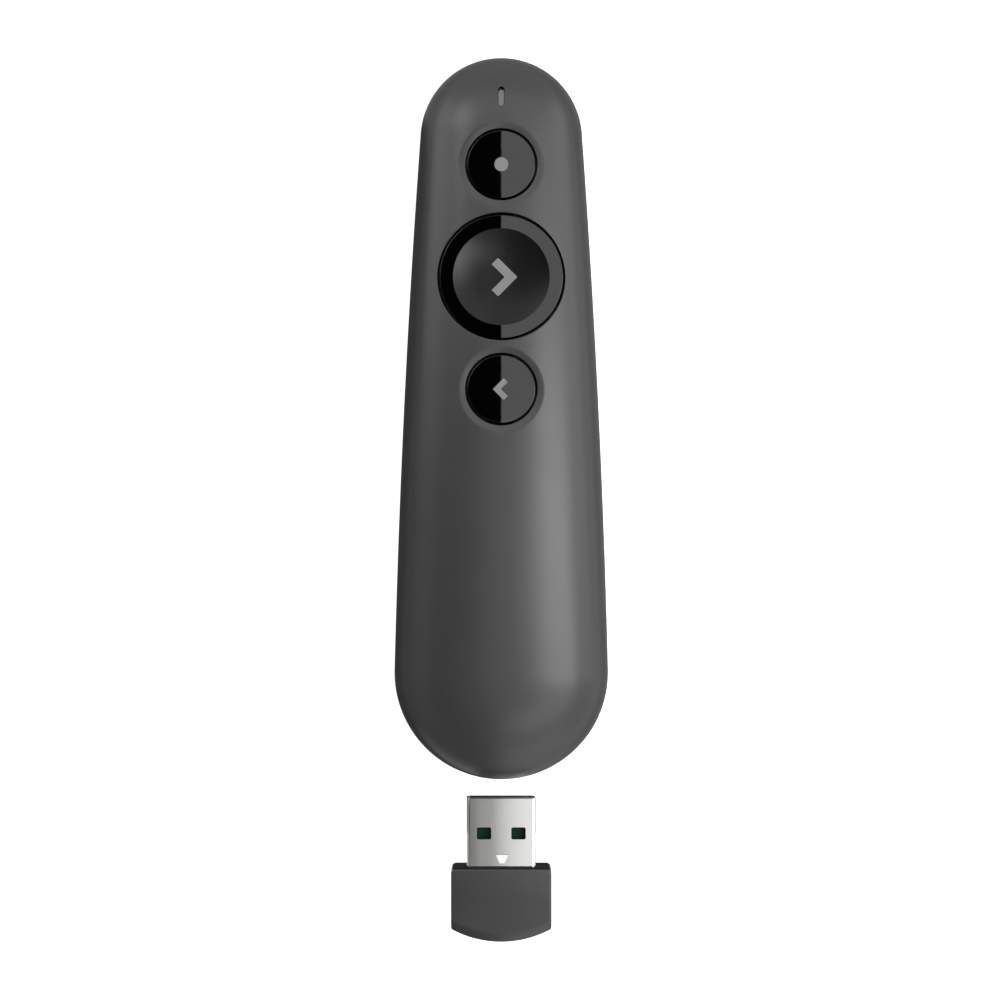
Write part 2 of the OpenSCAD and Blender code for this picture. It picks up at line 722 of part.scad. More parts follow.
foil_t = 0.1;
foil_w = 0.8;
foil_pitch = 1.6;
foil_half = 6;
foil_in = 0.8;
foil_n = 4;

module board_antenna() color("#b87333") for (i = [0:foil_n - 1]) {
    y = board_y0 + foil_in + i * foil_pitch;
    block(-foil_half, foil_half, y, y + foil_w, deck_z, deck_z + foil_t);
    if (i < foil_n - 1) {
        x = i % 2 == 0 ? foil_half - foil_w : -foil_half;
        block(x, x + foil_w, y, y + foil_pitch + eps, deck_z, deck_z + foil_t);
    }
}

chip = [5, 5, 0.85];
crystal = [3.2, 2.5, 0.75];
crystal_gap = 1.4;
resistor = [1, 0.5, 0.35];
resistor_n = 5;
resistor_x = 7.6;
resistor_pitch = 1.5;

// A flat part of size [x, y, z] on the board, its middle at x, y.
module on_board(size, x, y) translate([x - size.x / 2, y - size.y / 2, deck_z]) cube(size);

module radio_chip() color("#222326") on_board(chip, 0, chip_y);
module crystal_can() color("#b9bcc0") on_board(crystal, chip.x / 2 + crystal_gap + crystal.x / 2, chip_y);
module board_resistors() color("#3b3026") for (x = [-resistor_x, resistor_x], i = [0:resistor_n - 1])
    on_board(resistor, x, chip_y + (i - (resistor_n - 1) / 2) * resistor_pitch);
module status_led() color("#e8e6d8") on_board(led, 0, light_y);

// Height of the dome's middle line, over the nose, and under it by the wall.
function nose_line(y, inset) =
    let (f = max(0, y - nose_c) / (nose_r - inset))
    dome_z(y, pow(max(0, 1 - pow(f, dome_n)), 1 / dome_n), inset);

module status_light_pipe() color("#d5d7d6") {
    top = nose_line(light_y, 0) - light_sunk;
    slope = atan((nose_line(light_y - light_l / 2, 0) - nose_line(light_y + light_l / 2, 0)) / light_l);
    difference() {
        translate([0, light_y, deck_z + led.z])
            light_slot(light_w - 2 * light_fit, light_l - 2 * light_fit, body_h);
        translate([0, light_y, top]) rotate([-slope, 0, 0])
            block(-body_h, body_h, -body_h, body_h, 0, 2 * body_h);
    }
    block(-light_w / 2 - collar_w, light_w / 2 + collar_w, light_y - light_l / 2 - collar_w,
        light_y + light_l / 2 + collar_w, collar_z - collar_t, collar_z);
}

// ---- Laser ------------------------------------------------------------------

bore_r = barrel_r - barrel_wall;
lens_t = 1.4;
lens_in = 0.6;
can_l = 2.4;
flange_r = 2.8;
flange_t = 1;
lead_r = 0.22;
lead_x = 1.27;
lead_l = 1.8;
aperture_r = 1.6;

module laser_barrel() color("#b08d45") difference() {
    along_y(barrel_y0, barrel_y1, part_z, barrel_r);
    along_y(barrel_y0 - eps, barrel_y1 + eps, part_z, bore_r);
}
module laser_lens() color("#cfe3ea")
    along_y(barrel_y1 - lens_t - lens_in, barrel_y1 - lens_in, part_z, bore_r - seat_fit);
module laser_diode() color("#c8a24a") {
    along_y(barrel_y0 - eps, barrel_y0 + can_l, part_z, bore_r - seat_fit);
    along_y(barrel_y0 - flange_t, barrel_y0, part_z, flange_r);
    for (x = [-lead_x, lead_x]) translate([x, 0, 0]) {
        along_y(barrel_y0 - flange_t - lead_l, barrel_y0 - flange_t + eps, part_z, lead_r);
        post(0, barrel_y0 - flange_t - lead_l, part_z - lead_r, board_z, lead_r);
    }
}
// The ring's front carries on the round of the nose.
module window_ring() color("#17181a") difference() {
    intersection() {
        along_y(bezel_y0, bezel_y1 + past, part_z, bezel_r);
        post(0, nose_c, 0, body_h, nose_r);
    }
    along_y(bezel_y0 - eps, bezel_y1 + eps, part_z, aperture_r);
    along_y(pane_y0, bezel_y1 + eps, part_z, pane_r + seat_fit);
}
module laser_window() color("#5a1618") along_y(pane_y0, pane_y1, part_z, pane_r);

// ---- Screws -----------------------------------------------------------------

cross_l = 2.2;
cross_w = 0.44;
cross_d = 0.6;
case_thread = 3;

// A screw that points up, its head's face at z = 0, with a cross in it.
module screw(l) difference() {
    union() {
        cylinder(r = screw_head_r, h = screw_head_h);
        cylinder(r = screw_r, h = screw_head_h + l);
    }
    for (a = [0, 90]) rotate([0, 0, a])
        block(-cross_l / 2, cross_l / 2, -cross_w / 2, cross_w / 2, -eps, cross_d);
}
module frame_screws() color("#9a9c9f") for (s = frame_screw_spots)
    translate([s.x, s.y, frame_z - screw_head_h]) screw(frame_t + thread_l - tip_gap);
module case_screws() color("#9a9c9f") {
    translate([0, case_screw_y, bridge_z + eps]) screw(bridge_t - screw_head_h + case_thread);
    translate([0, tail_screw_y, roof_z + eps]) screw(dock_roof - screw_head_h + thread_l - tip_gap - eps);
}

// ---- Receiver ---------------------------------------------------------------

// The head's end is the piece of the tail that it fills when it is docked.
head_top_r = tail_r * (land + (1 - land) * pow(1 - pow(1 - (head_h - bevel_h) / part_z, tub_n), 1 / tub_n));
head_t1 = asin(pow(1 - (head_h - bevel_h) / part_z, tub_n / 2));
head_steps = 12;
head_profile = concat(
    [[0, 0]],
    [for (i = [0:head_steps])
        let (t = 90 - (90 - head_t1) * i / head_steps)
        [tail_r * (land + (1 - land) * pow(cos(t), 2 / tub_n)), part_z * (1 - pow(sin(t), 2 / tub_n))]],
    [[head_top_r - bevel_in, head_h], [0, head_h]]
);
corner_r = 0.8;

module rounded_slab(x, y0, y1, z0, z1, r) {
    block(-x, x, y0 + r, y1 - r, z0, z1);
    block(r - x, x - r, y0, y1, z0, z1);
    for (px = [r - x, x - r], py = [y0 + r, y1 - r]) post(px, py, z0, z1, r);
}

cavity_y0 = head_end + head_end_wall;
cavity_y1 = head_front - head_front_wall;
stick_up = 0.25;
stick_z = plug_z + sheet_t + stick_up;
stick_t = 0.8;
rest_w = 1;
rest_in = 1;
rest_pitch = 2.5;

module receiver_head() color("#4a4a4b") {
    difference() {
        intersection() {
            rounded_slab(head_w / 2, head_end - past, head_front, 0, head_h, corner_r);
            translate([0, head_end + tail_r, 0]) rotate_extrude() polygon(head_profile);
        }
        block(head_wall - head_w / 2, head_w / 2 - head_wall, cavity_y0, cavity_y1,
            head_wall, head_h - head_wall);
        block(-plug_w / 2, plug_w / 2, cavity_y1 - eps, head_front + eps, plug_z, plug_z + plug_h);
    }
    for (y = [cavity_y0 + rest_in, cavity_y0 + rest_in + rest_pitch])
        block(-plug_w / 2, plug_w / 2, y, y + rest_w, head_wall - eps, stick_z);
}

module usb_shell() color("#c9c9c6") difference() {
    block(-plug_w / 2, plug_w / 2, head_front - plug_root, mouth_y, plug_z, plug_z + plug_h);
    block(sheet_t - plug_w / 2, plug_w / 2 - sheet_t, head_front - plug_root - past, mouth_y + past,
        plug_z + sheet_t, plug_z + plug_h - sheet_t);
    for (x = [-window_x, window_x]) translate([x, mouth_y - window_back, plug_z - past])
        block(-window_w / 2, window_w / 2, -window_l / 2, window_l / 2, 0, plug_h + 2 * past);
}

tongue_side = 0.1;
tongue_in = 1;
tongue_half = plug_w / 2 - sheet_t - tongue_side;
tongue_z = plug_z + sheet_t;
tongue_y0 = head_front - plug_root + tongue_in;
module usb_tongue() color("#0e3420")
    block(-tongue_half, tongue_half, tongue_y0, mouth_y - tongue_back, tongue_z, tongue_z + tongue_t);

contact_w = 1;
contact_l = 4.1;
power_x = 3.5;
power_in = 0.4;
data_x = 1;
data_in = 1.2;
module usb_contacts() color("#caa64e") for (x = [-power_x, -data_x, data_x, power_x]) {
    y1 = mouth_y - tongue_back - (abs(x) == power_x ? power_in : data_in);
    block(x - contact_w / 2, x + contact_w / 2, y1 - contact_l, y1, tongue_z + tongue_t,
        tongue_z + tongue_t + foil_t);
}

stick_half = 5.5;
stick_chip = [4, 4, 0.8];
module receiver_board() color("#14402a")
    block(-stick_half, stick_half, cavity_y0 + loose, tongue_y0, stick_z, stick_z + stick_t);
module receiver_chip() color("#222326")
    translate([-stick_chip.x / 2, cavity_y0 + rest_in, stick_z + stick_t]) cube(stick_chip);

top_shell();
lower_shell();
inner_frame();
battery_door();
laser_button();
laser_dot_mark();
laser_plunger();
laser_switch();
next_button();
next_arrow_mark();
next_plunger();
next_switch();
back_button();
back_arrow_mark();
back_plunger();
back_switch();
main_board();
board_antenna();
radio_chip();
crystal_can();
board_resistors();
status_led();
status_light_pipe();
laser_barrel();
laser_lens();
laser_diode();
window_ring();
laser_window();
battery_left();
battery_right();
bridge_contact();
terminal_contacts();
contact_springs();
frame_screws();
case_screws();
receiver_head();
usb_shell();
usb_tongue();
usb_contacts();
receiver_board();
receiver_chip();
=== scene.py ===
"""Wireless presentation clicker with its USB receiver pulled out: its looks, around its frame."""

from math import acos, asin, atan2, ceil, cos, degrees, hypot, pi, radians, sin, sqrt, tan

import bmesh
import bpy
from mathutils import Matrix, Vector
from mathutils.geometry import delaunay_2d_cdt


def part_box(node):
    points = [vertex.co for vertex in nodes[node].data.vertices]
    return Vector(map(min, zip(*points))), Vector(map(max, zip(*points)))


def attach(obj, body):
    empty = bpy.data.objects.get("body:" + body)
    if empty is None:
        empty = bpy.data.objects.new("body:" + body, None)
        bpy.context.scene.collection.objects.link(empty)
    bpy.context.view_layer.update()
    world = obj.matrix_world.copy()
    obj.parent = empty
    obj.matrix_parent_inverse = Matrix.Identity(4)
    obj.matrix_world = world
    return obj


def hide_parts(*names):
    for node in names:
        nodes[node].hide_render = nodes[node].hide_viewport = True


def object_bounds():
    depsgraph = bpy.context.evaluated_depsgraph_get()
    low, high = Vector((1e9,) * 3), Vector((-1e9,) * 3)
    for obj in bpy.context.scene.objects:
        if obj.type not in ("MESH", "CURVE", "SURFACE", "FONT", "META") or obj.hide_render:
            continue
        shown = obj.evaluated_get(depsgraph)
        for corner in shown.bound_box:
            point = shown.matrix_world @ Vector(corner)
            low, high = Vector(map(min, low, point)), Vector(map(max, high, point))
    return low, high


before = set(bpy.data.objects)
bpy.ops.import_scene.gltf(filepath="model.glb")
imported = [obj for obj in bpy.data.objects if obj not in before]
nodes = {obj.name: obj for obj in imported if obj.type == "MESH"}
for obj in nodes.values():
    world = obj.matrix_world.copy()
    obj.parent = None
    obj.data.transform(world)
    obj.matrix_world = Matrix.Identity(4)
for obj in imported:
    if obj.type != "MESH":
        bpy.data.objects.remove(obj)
cad_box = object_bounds()

# ---- Camera ------------------------------------------------------------------
# It hangs 450 mm over the table and looks straight down, with the nose at the top of the picture.
# Its lens takes in a square of the table. Place and width are in metres, the sensor is in mm.

CAMERA_PLACE = (-0.00022, 0.00058, 0.450)
TABLE_WIDTH_SEEN = 0.1765
SENSOR = 36.0

scene = bpy.context.scene
camera = bpy.data.objects.new("camera", bpy.data.cameras.new("camera"))
camera.data.sensor_width = SENSOR
camera.data.lens = SENSOR * CAMERA_PLACE[2] / TABLE_WIDTH_SEEN
camera.data.clip_start = 0.01
camera.location = CAMERA_PLACE
scene.collection.objects.link(camera)
scene.camera = camera

# ---- Lower shell -------------------------------------------------------------
# The grip half of the case, one moulding with a soft-touch coat. Its tail is notched for the
# receiver, its flat underside is open for the battery door, and a step makes the finger's rest.
# It holds the laser's barrel in two ribs, and two screws close it against frame and top shell.

MM = 0.001
NOSE_Y = cad_box[1].y / MM
TAIL_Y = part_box("top_shell")[0].y / MM
NOSE_R = 13.9
TAIL_R = 18.35
SIDE_R = 1950.0
PART_Z = 11.0
TUB_N = 2.4
LAND = 0.72
WALL = 1.8
FLOOR = 2.2
STEP_H = 2.4
STEP_RUN = 1.2
NOSE_RISE = 2.2
DOOR_FIT = 0.15
DOCK_FIT = 0.15
DOCK_WALL = 1.3
DOCK_ROOF = 2.6
BRIDGE_T = 2.6
LOOSE = 0.3
PART_LIP = 0.14
DOOR_LIP = 6.0
RAIL_W = 1.0
RAIL_Z = 0.7
RAIL_T = 0.7
RIB_T = 1.4
RIB_IN = 1.6
BOARD_POST_X = 6.6
BOARD_POST_IN = 3.4
BOARD_POST_R = 1.1
SCREW_R = 0.9
SCREW_HEAD_R = 1.8
SCREW_ROOM = 0.25
SEAT_FIT = 0.03
SCREW_HEAD_DEEP = 1.3
LIP_MID = 0.3
STEP_BEFORE = 0.5
STEP_AFTER = 0.7
# Angles down the lower shell's side, and how many points the outlines have at tail, side and nose.
TUB_TURNS = [0, 1.5, 4] + list(range(8, 89, 5)) + [90]
SHELL_STEPS = (36, 56, 32)
INNER_STEPS = (20, 24, 18)
# How far a cutting form stands out of what it cuts, and how far a joined one reaches in.
PAST = 1.0
BITE = 0.1

NOSE_C = NOSE_Y - NOSE_R
TAIL_C = TAIL_Y + TAIL_R
NOSE_ARM = SIDE_R - NOSE_R
TAIL_ARM = SIDE_R - TAIL_R
SIDE_CY = (NOSE_C + TAIL_C - (NOSE_ARM ** 2 - TAIL_ARM ** 2) / (NOSE_C - TAIL_C)) / 2
SIDE_CX = -sqrt(TAIL_ARM ** 2 - (SIDE_CY - TAIL_C) ** 2)
TAIL_A = asin((TAIL_C - SIDE_CY) / TAIL_ARM)
NOSE_A = asin((NOSE_C - SIDE_CY) / NOSE_ARM)

door_low, door_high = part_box("battery_door")
door_y1 = door_high.y / MM
rail_half = door_high.x / MM
door_half = rail_half - RAIL_W
step_y = door_y1 + DOOR_FIT


def spaced(a, b, n):
    """n + 1 values from a to b."""
    return [a + (b - a) * i / n for i in range(n + 1)]


def outline(tail_n, side_n, nose_n, extra=()):
    """The right half of the outline from tail to nose, as normals that start on the middle line:
    [angle, y of the start, length]."""
    half = [(a, TAIL_C, TAIL_R) for a in spaced(-pi / 2, TAIL_A, tail_n)]
    y0 = SIDE_CY + SIDE_R * sin(TAIL_A)
    y1 = SIDE_CY + SIDE_R * sin(NOSE_A)
    for y in sorted(spaced(y0, y1, side_n)[1:-1] + list(extra)):
        a = asin((y - SIDE_CY) / SIDE_R)
        x = SIDE_CX + SIDE_R * cos(a)
        half.append((a, y - x * tan(a), x / cos(a)))
    return half + [(a, NOSE_C, NOSE_R) for a in spaced(NOSE_A, pi / 2, nose_n)]


def around(half, share, inset, height):
    """A closed ring, counter-clockwise, at a share of the reach; height(x, y) gives its z."""
    right = []
    for a, spine, reach in half:
        r = (reach - inset) * share
        right.append((0.0 if abs(cos(a)) < 1e-9 else r * cos(a), spine + r * sin(a)))
    left = [(-x, y) for x, y in reversed(right[1:-1])]
    return [(x, y, height(x, y)) for x, y in right + left]


def lip(half, way):
    """The rounded edge at the parting line: below it where way is -1, above it where way is 1."""
    return [around(half, 1.0, PART_LIP, lambda x, y: PART_Z),
            around(half, 1.0, PART_LIP * LIP_MID, lambda x, y: PART_Z + way * PART_LIP * LIP_MID),
            around(half, 1.0, 0.0, lambda x, y: PART_Z + way * PART_LIP)]


def under(y):
    """Height of the underside: flat under the battery, then the step, then a slow rise."""
    u = min(max((y - step_y) / STEP_RUN, 0.0), 1.0)
    rise = max(0.0, y - step_y - STEP_RUN) / (NOSE_Y - step_y - STEP_RUN)
    return STEP_H * u * u * (3 - 2 * u) + NOSE_RISE * rise ** 2


def piece_from(name, skin):
    """A mesh object, in metres, from (points in mm, faces)."""
    points, faces = skin
    mesh = bpy.data.meshes.new(name)
    mesh.from_pydata([Vector(p) * MM for p in points], [], faces)
    tidy = bmesh.new()
    tidy.from_mesh(mesh)
    bmesh.ops.remove_doubles(tidy, verts=tidy.verts, dist=1.5e-6)
    bmesh.ops.dissolve_degenerate(tidy, edges=tidy.edges, dist=1e-7)
    bmesh.ops.recalc_face_normals(tidy, faces=tidy.faces)
    tidy.to_mesh(mesh)
    tidy.free()
    piece = bpy.data.objects.new(name, mesh)
    scene.collection.objects.link(piece)
    return piece


def loft(rings, capped=True):
    """Points and faces of a stack of rings of one length, closed at both ends."""
    n = len(rings[0])
    points = [p for ring in rings for p in ring]
    faces = []
    for k in range(len(rings) - 1):
        for i in range(n):
            j = (i + 1) % n
            faces.append((k * n + i, k * n + j, (k + 1) * n + j, (k + 1) * n + i))
    if capped:
        faces.append(tuple(reversed(range(n))))
        faces.append(tuple(range((len(rings) - 1) * n, len(rings) * n)))
    return points, faces


def closed_form(rings):
    """A stack of outline rings, closed at both ends by strips that run straight across."""
    points, faces = loft(rings, capped=False)
    n = len(rings[0])
    for start in (0, (len(rings) - 1) * n):
        for i in range(n // 2):
            strip = (start + i, start + i + 1, start + n - i - 1, start + (n - i) % n)
            faces.append(tuple(dict.fromkeys(strip)))
    return points, faces


def prism(loop, z0, z1):
    return piece_from("prism", loft([[(x, y, z) for x, y in loop] for z in (z0, z1)]))


def block(x0, x1, y0, y1, z0, z1):
    return prism([(x0, y0), (x1, y0), (x1, y1), (x0, y1)], z0, z1)


def circle(r, n):
    """Loop of a circle around the origin."""
    return [(r * cos(2 * pi * i / n), r * sin(2 * pi * i / n)) for i in range(n)]


def rod(x, y, z, r, length, along="z", sides=72):
    """A round bar that starts at x, y, z and runs along an axis."""
    ring = circle(r, sides)
    if along == "z":
        ends = [[(x + u, y + v, h) for u, v in ring] for h in (z, z + length)]
    else:
        ends = [[(x + v, h, z + u) for u, v in ring] for h in (y, y + length)]
    return piece_from("rod", loft(ends))


def bake(piece):
    """Applies the piece's modifiers."""
    bpy.context.view_layer.update()
    depsgraph = bpy.context.evaluated_depsgraph_get()
    made = bpy.data.meshes.new_from_object(piece.evaluated_get(depsgraph))
    old = piece.data
    piece.modifiers.clear()
    piece.data = made
    bpy.data.meshes.remove(old)


def combine(piece, how, *tools):
    """Joins tools to a piece, cuts them out of it, or keeps what it shares with them."""
    for tool in tools:
        step = piece.modifiers.new(how, "BOOLEAN")
        step.operation = how
        step.solver = "MANIFOLD"
        step.object = tool
        bake(piece)
        old = tool.data
        bpy.data.objects.remove(tool)
        bpy.data.meshes.remove(old)


def join(piece, *tools):
    combine(piece, "UNION", *tools)


def cut(piece, *tools):
    combine(piece, "DIFFERENCE", *tools)


def smooth(piece, angle=30.0):
    piece.data.polygons.foreach_set("use_smooth", [True] * len(piece.data.polygons))
    piece.data.set_sharp_from_angle(angle=radians(angle))
    return piece


def rounded_edges(piece, width, steps=3, angle=35.0):
    """Breaks the sharp edges of a moulded piece with a small radius."""
    soft = piece.modifiers.new("edges", "BEVEL")
    soft.width = width * MM
    soft.segments = steps
    soft.limit_method = "ANGLE"
    soft.angle_limit = radians(angle)
    soft.harden_normals = False
    bake(piece)
    return piece


def place(piece, name, material, body, slot, *stands_for):
    """Names a finished piece, gives it its material and body, and hides the nodes it stands
    for. The slot is not used.
    """
    piece.name = name
    piece.data.name = name
    if not any(piece.data.materials):
        piece.data.materials.clear()
        piece.data.materials.append(material)
    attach(piece, body)
    if stands_for:
        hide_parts(*stands_for)


BROADER = 24


def finish(name, colour, rough, metal=0.0, grain=0.15, depth=0.2, shade=0.06, spread=0.04,
           run=(1, 1, 1), specular=0.5):
    """A surface with fine grains in its height, grain mm wide, and broader ones in gloss and
    colour."""
    material = bpy.data.materials.new(name)
    material.use_nodes = True
    tree = material.node_tree
    shader = tree.nodes["Principled BSDF"]
    shader.inputs["Metallic"].default_value = metal
    shader.inputs["Specular IOR Level"].default_value = specular
    place_on = tree.nodes.new("ShaderNodeTexCoord")
    mapping = tree.nodes.new("ShaderNodeMapping")
    mapping.inputs["Scale"].default_value = run
    fine = tree.nodes.new("ShaderNodeTexNoise")
    fine.inputs["Scale"].default_value = 1000.0 / grain
    fine.inputs["Detail"].default_value = 2.0
    broad = tree.nodes.new("ShaderNodeTexNoise")
    broad.inputs["Scale"].default_value = 1000.0 / (grain * BROADER)
    broad.inputs["Detail"].default_value = 3.0
    gloss = tree.nodes.new("ShaderNodeMapRange")
    gloss.inputs["To Min"].default_value = rough - spread
    gloss.inputs["To Max"].default_value = rough + spread
    tint = tree.nodes.new("ShaderNodeMix")
    tint.data_type = "RGBA"
    tint.inputs[6].default_value = [c * (1 - shade) for c in colour] + [1]
    tint.inputs[7].default_value = [c * (1 + shade) for c in colour] + [1]
    bump = tree.nodes.new("ShaderNodeBump")
    bump.inputs["Strength"].default_value = depth
    bump.inputs["Distance"].default_value = grain * 0.1 * MM
    link = tree.links.new
    link(place_on.outputs["Object"], mapping.inputs["Vector"])
    link(mapping.outputs["Vector"], fine.inputs["Vector"])
    link(mapping.outputs["Vector"], broad.inputs["Vector"])
    link(broad.outputs["Fac"], gloss.inputs["Value"])
    link(broad.outputs["Fac"], tint.inputs["Factor"])
    link(gloss.outputs["Result"], shader.inputs["Roughness"])
    link(tint.outputs[2], shader.inputs["Base Color"])
    link(fine.outputs["Fac"], bump.inputs["Height"])
    link(bump.outputs["Normal"], shader.inputs["Normal"])
    return material


SOFT_TOUCH = finish("soft_touch_graphite", (0.034, 0.034, 0.0345), 0.34, grain=0.16, depth=0.22,
                    shade=0.04, spread=0.03)


def tub(half, inset, deep):
    """Rings of the lower shell's form, from the parting line down to its flat underside."""
    rings = []
    for turn in TUB_TURNS:
        t = radians(turn)
        drop = sin(t) ** (2 / TUB_N)
        share = LAND + (1 - LAND) * max(0.0, cos(t)) ** (2 / TUB_N)
        rings.append(around(half, share, inset,
                            lambda x, y: PART_Z - (PART_Z - under(y) - deep) * drop))
    return rings


def form(half, inset, deep):
    """The lower shell's form as a solid that stands proud of the parting line."""
    rings = [around(half, 1.0, inset, lambda x, y: PART_Z + PAST)] + tub(half, inset, deep)
    return piece_from("form", closed_form(rings))


HEAD_L = 13.0
PLUG_L = 12.0
SOCKET_END = 1.3
REAR_WALL = 1.0
head_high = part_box("receiver_head")[1] / MM
plug_low, plug_high = [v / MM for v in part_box("usb_shell")]
frame_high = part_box("inner_frame")[1] / MM
barrel_low, barrel_high = [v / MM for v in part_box("laser_barrel")]
notch_end = TAIL_Y + HEAD_L + DOCK_FIT
roof_z = head_high.z + DOCK_FIT
dock_half = head_high.x + DOCK_FIT
socket_half = plug_high.x + DOCK_FIT
socket_y = notch_end + PLUG_L + DOCK_FIT
dock_end = socket_y + SOCKET_END
opening_y0 = dock_end + REAR_WALL
tray_y1 = door_y1 - DOOR_LIP
bridge_z = door_high.z / MM + DOOR_FIT
screw_low, screw_high = [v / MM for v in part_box("case_screws")]
case_screw_y = screw_high.y - SCREW_HEAD_R
tail_screw_y = screw_low.y + SCREW_HEAD_R
board_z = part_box("main_board")[0].z / MM
window_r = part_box("window_ring")[1].x / MM

# The outline has extra points where the step crosses it.
step_rings = spaced(step_y - STEP_BEFORE, step_y + STEP_RUN + STEP_AFTER, 16)
half_outline = outline(*SHELL_STEPS, extra=step_rings)
lower_casing = piece_from("lower_casing",
                          closed_form(lip(half_outline, -1) + tub(half_outline, 0, 0)[2:]))
cut(lower_casing, form(outline(*INNER_STEPS), WALL, FLOOR))

# Walls of the receiver's dock, the bridge over the bay, the barrel's ribs and the board's posts.
dock = block(-dock_half - DOCK_WALL, dock_half + DOCK_WALL, TAIL_Y - PAST, notch_end + DOCK_WALL,
             0, roof_z + DOCK_ROOF)
socket = block(-socket_half - DOCK_WALL, socket_half + DOCK_WALL, notch_end, dock_end,
               0, plug_high.z + DOCK_FIT + DOCK_WALL)
join(dock, socket)
combine(dock, "INTERSECT", form(outline(*SHELL_STEPS), WALL / 3, FLOOR / 3))
bridge = block(-frame_high.x - PAST, frame_high.x + PAST, tray_y1 + LOOSE, door_y1 - BITE,
               bridge_z, bridge_z + BRIDGE_T)
join(lower_casing, dock, bridge)
rib_half = barrel_high.x + RIB_T
for rib_y in (barrel_low.y + RIB_IN, barrel_high.y - RIB_T - RIB_IN):
    rib = block(-rib_half, rib_half, rib_y, rib_y + RIB_T, under(rib_y) + FLOOR / 2, PART_Z)
    join(lower_casing, rib)
post_y = barrel_low.y + BOARD_POST_IN
post_z = under(post_y) + FLOOR / 2
for side in (-1, 1):
    post = rod(side * BOARD_POST_X, post_y, post_z, BOARD_POST_R, board_z - post_z)
    join(lower_casing, post)

# Openings: the dock's notch and socket, the battery opening, the door's channel and rails, the
# screws, and the seats of the laser's barrel and of its ring.
door_room = door_half + DOOR_FIT
channel_y1 = step_y + STEP_RUN + PAST
cuts = [
    block(-dock_half, dock_half, TAIL_Y - 2 * PAST, notch_end, -PAST, roof_z),
    block(-socket_half, socket_half, notch_end - BITE, socket_y,
          plug_low.z - DOCK_FIT, plug_high.z + DOCK_FIT),
    block(-door_room, door_room, opening_y0, tray_y1 + LOOSE, -PAST, FLOOR + BITE),
    block(-door_room, door_room, opening_y0, channel_y1, -PAST, bridge_z),
    block(-rail_half - DOOR_FIT, rail_half + DOOR_FIT, opening_y0, channel_y1,
          RAIL_Z - DOOR_FIT, RAIL_Z + RAIL_T + DOOR_FIT),
]
for y, z, deep in ((case_screw_y, bridge_z, BRIDGE_T), (tail_screw_y, roof_z, DOCK_ROOF)):
    cuts.append(rod(0, y, z - BITE, SCREW_HEAD_R + SCREW_ROOM, SCREW_HEAD_DEEP + BITE))
    cuts.append(rod(0, y, z, SCREW_R + SCREW_ROOM, deep + BITE))
barrel_seat = rod(0, barrel_low.y - PAST, PART_Z, barrel_high.x + SEAT_FIT,
                  barrel_high.y - barrel_low.y + PAST + BITE, along="y")
ring_seat = rod(0, barrel_high.y, PART_Z, window_r + SEAT_FIT, NOSE_Y - barrel_high.y + PAST,
                along="y")
cut(lower_casing, *cuts, barrel_seat, ring_seat)
smooth(lower_casing)
place(lower_casing, "lower_casing", SOFT_TOUCH, "clicker", "soft_shell", "lower_shell")

# ---- Battery contacts, springs and cells ----------------------------------------
# Two AAA cells lie head to tail in the tray. Nickel-plated sheets and conical springs of steel wire
# touch their ends; the front sheets' tabs are soldered to the board.


def dress(material, *names):
    """Gives carried-over nodes their finish."""
    for name in names:
        piece = nodes[name]
        if not piece.data.materials:
            piece.data.materials.append(material)
        for slot in piece.material_slots:
            slot.material = material


SPRING_STEEL = finish("nickel_plated_steel", (0.56, 0.56, 0.54), 0.3, metal=1.0, grain=0.1,
                      depth=0.15, run=(1, 0.15, 1))
CELL_SLEEVE = finish("cell_sleeve", (0.16, 0.165, 0.17), 0.32, metal=0.6, grain=0.3, depth=0.1)
dress(SPRING_STEEL, "bridge_contact", "terminal_contacts", "contact_springs")
dress(CELL_SLEEVE, "battery_left", "battery_right")

# ---- Inner frame -----------------------------------------------------------------
# One black moulding: the battery tray with its hold-down rib, and the plate that carries the
# board on eight pads. Four screws hold it to the bosses of the top shell.

FRAME_BLACK = finish("frame_black", (0.022, 0.022, 0.023), 0.5, grain=0.25, depth=0.3)
dress(FRAME_BLACK, "inner_frame")

# ---- Board, chips and status light -------------------------------------------------
# A green glass-epoxy board with the radio chip, its crystal, small parts and a printed copper
# antenna. The white light-emitting diode at its front shines into the smoked pipe above it.

BOARD_GREEN = finish("board_laminate", (0.012, 0.11, 0.05), 0.35, grain=0.35, depth=0.12,
                     shade=0.18)
COPPER = finish("tinned_copper", (0.62, 0.33, 0.18), 0.3, metal=1.0, grain=0.08)
CHIP_BLACK = finish("chip_epoxy", (0.018, 0.018, 0.019), 0.55, grain=0.08, depth=0.4)
LED_WHITE = finish("diode_white", (0.75, 0.73, 0.65), 0.25, grain=0.1, depth=0.1)
dress(BOARD_GREEN, "main_board", "receiver_board")
dress(COPPER, "board_antenna")
dress(CHIP_BLACK, "radio_chip", "receiver_chip", "board_resistors")
dress(SPRING_STEEL, "crystal_can")
dress(LED_WHITE, "status_led")

# ---- Laser -------------------------------------------------------------------------
# A gold-plated diode can and a clear lens sit in a turned brass barrel. In front of it, a glossy
# black ring in the nose holds a deep red window, set back so that a finger can't touch it.

BODY_H = 25.0
DOME_N = 2.6
CROWN_R = 900.0
CROWN_BACK = 71.2
CROWN_Y = NOSE_Y - CROWN_BACK
BEZEL_HOLE_R = 1.6
BEZEL_BACK = 0.05
BEZEL_EDGE = 0.12
PANE_FIT = 0.03
WHOLE_STEPS = (20, 24, 40)
ring_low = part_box("window_ring")[0] / MM
pane_low, pane_high = [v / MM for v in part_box("laser_window")]

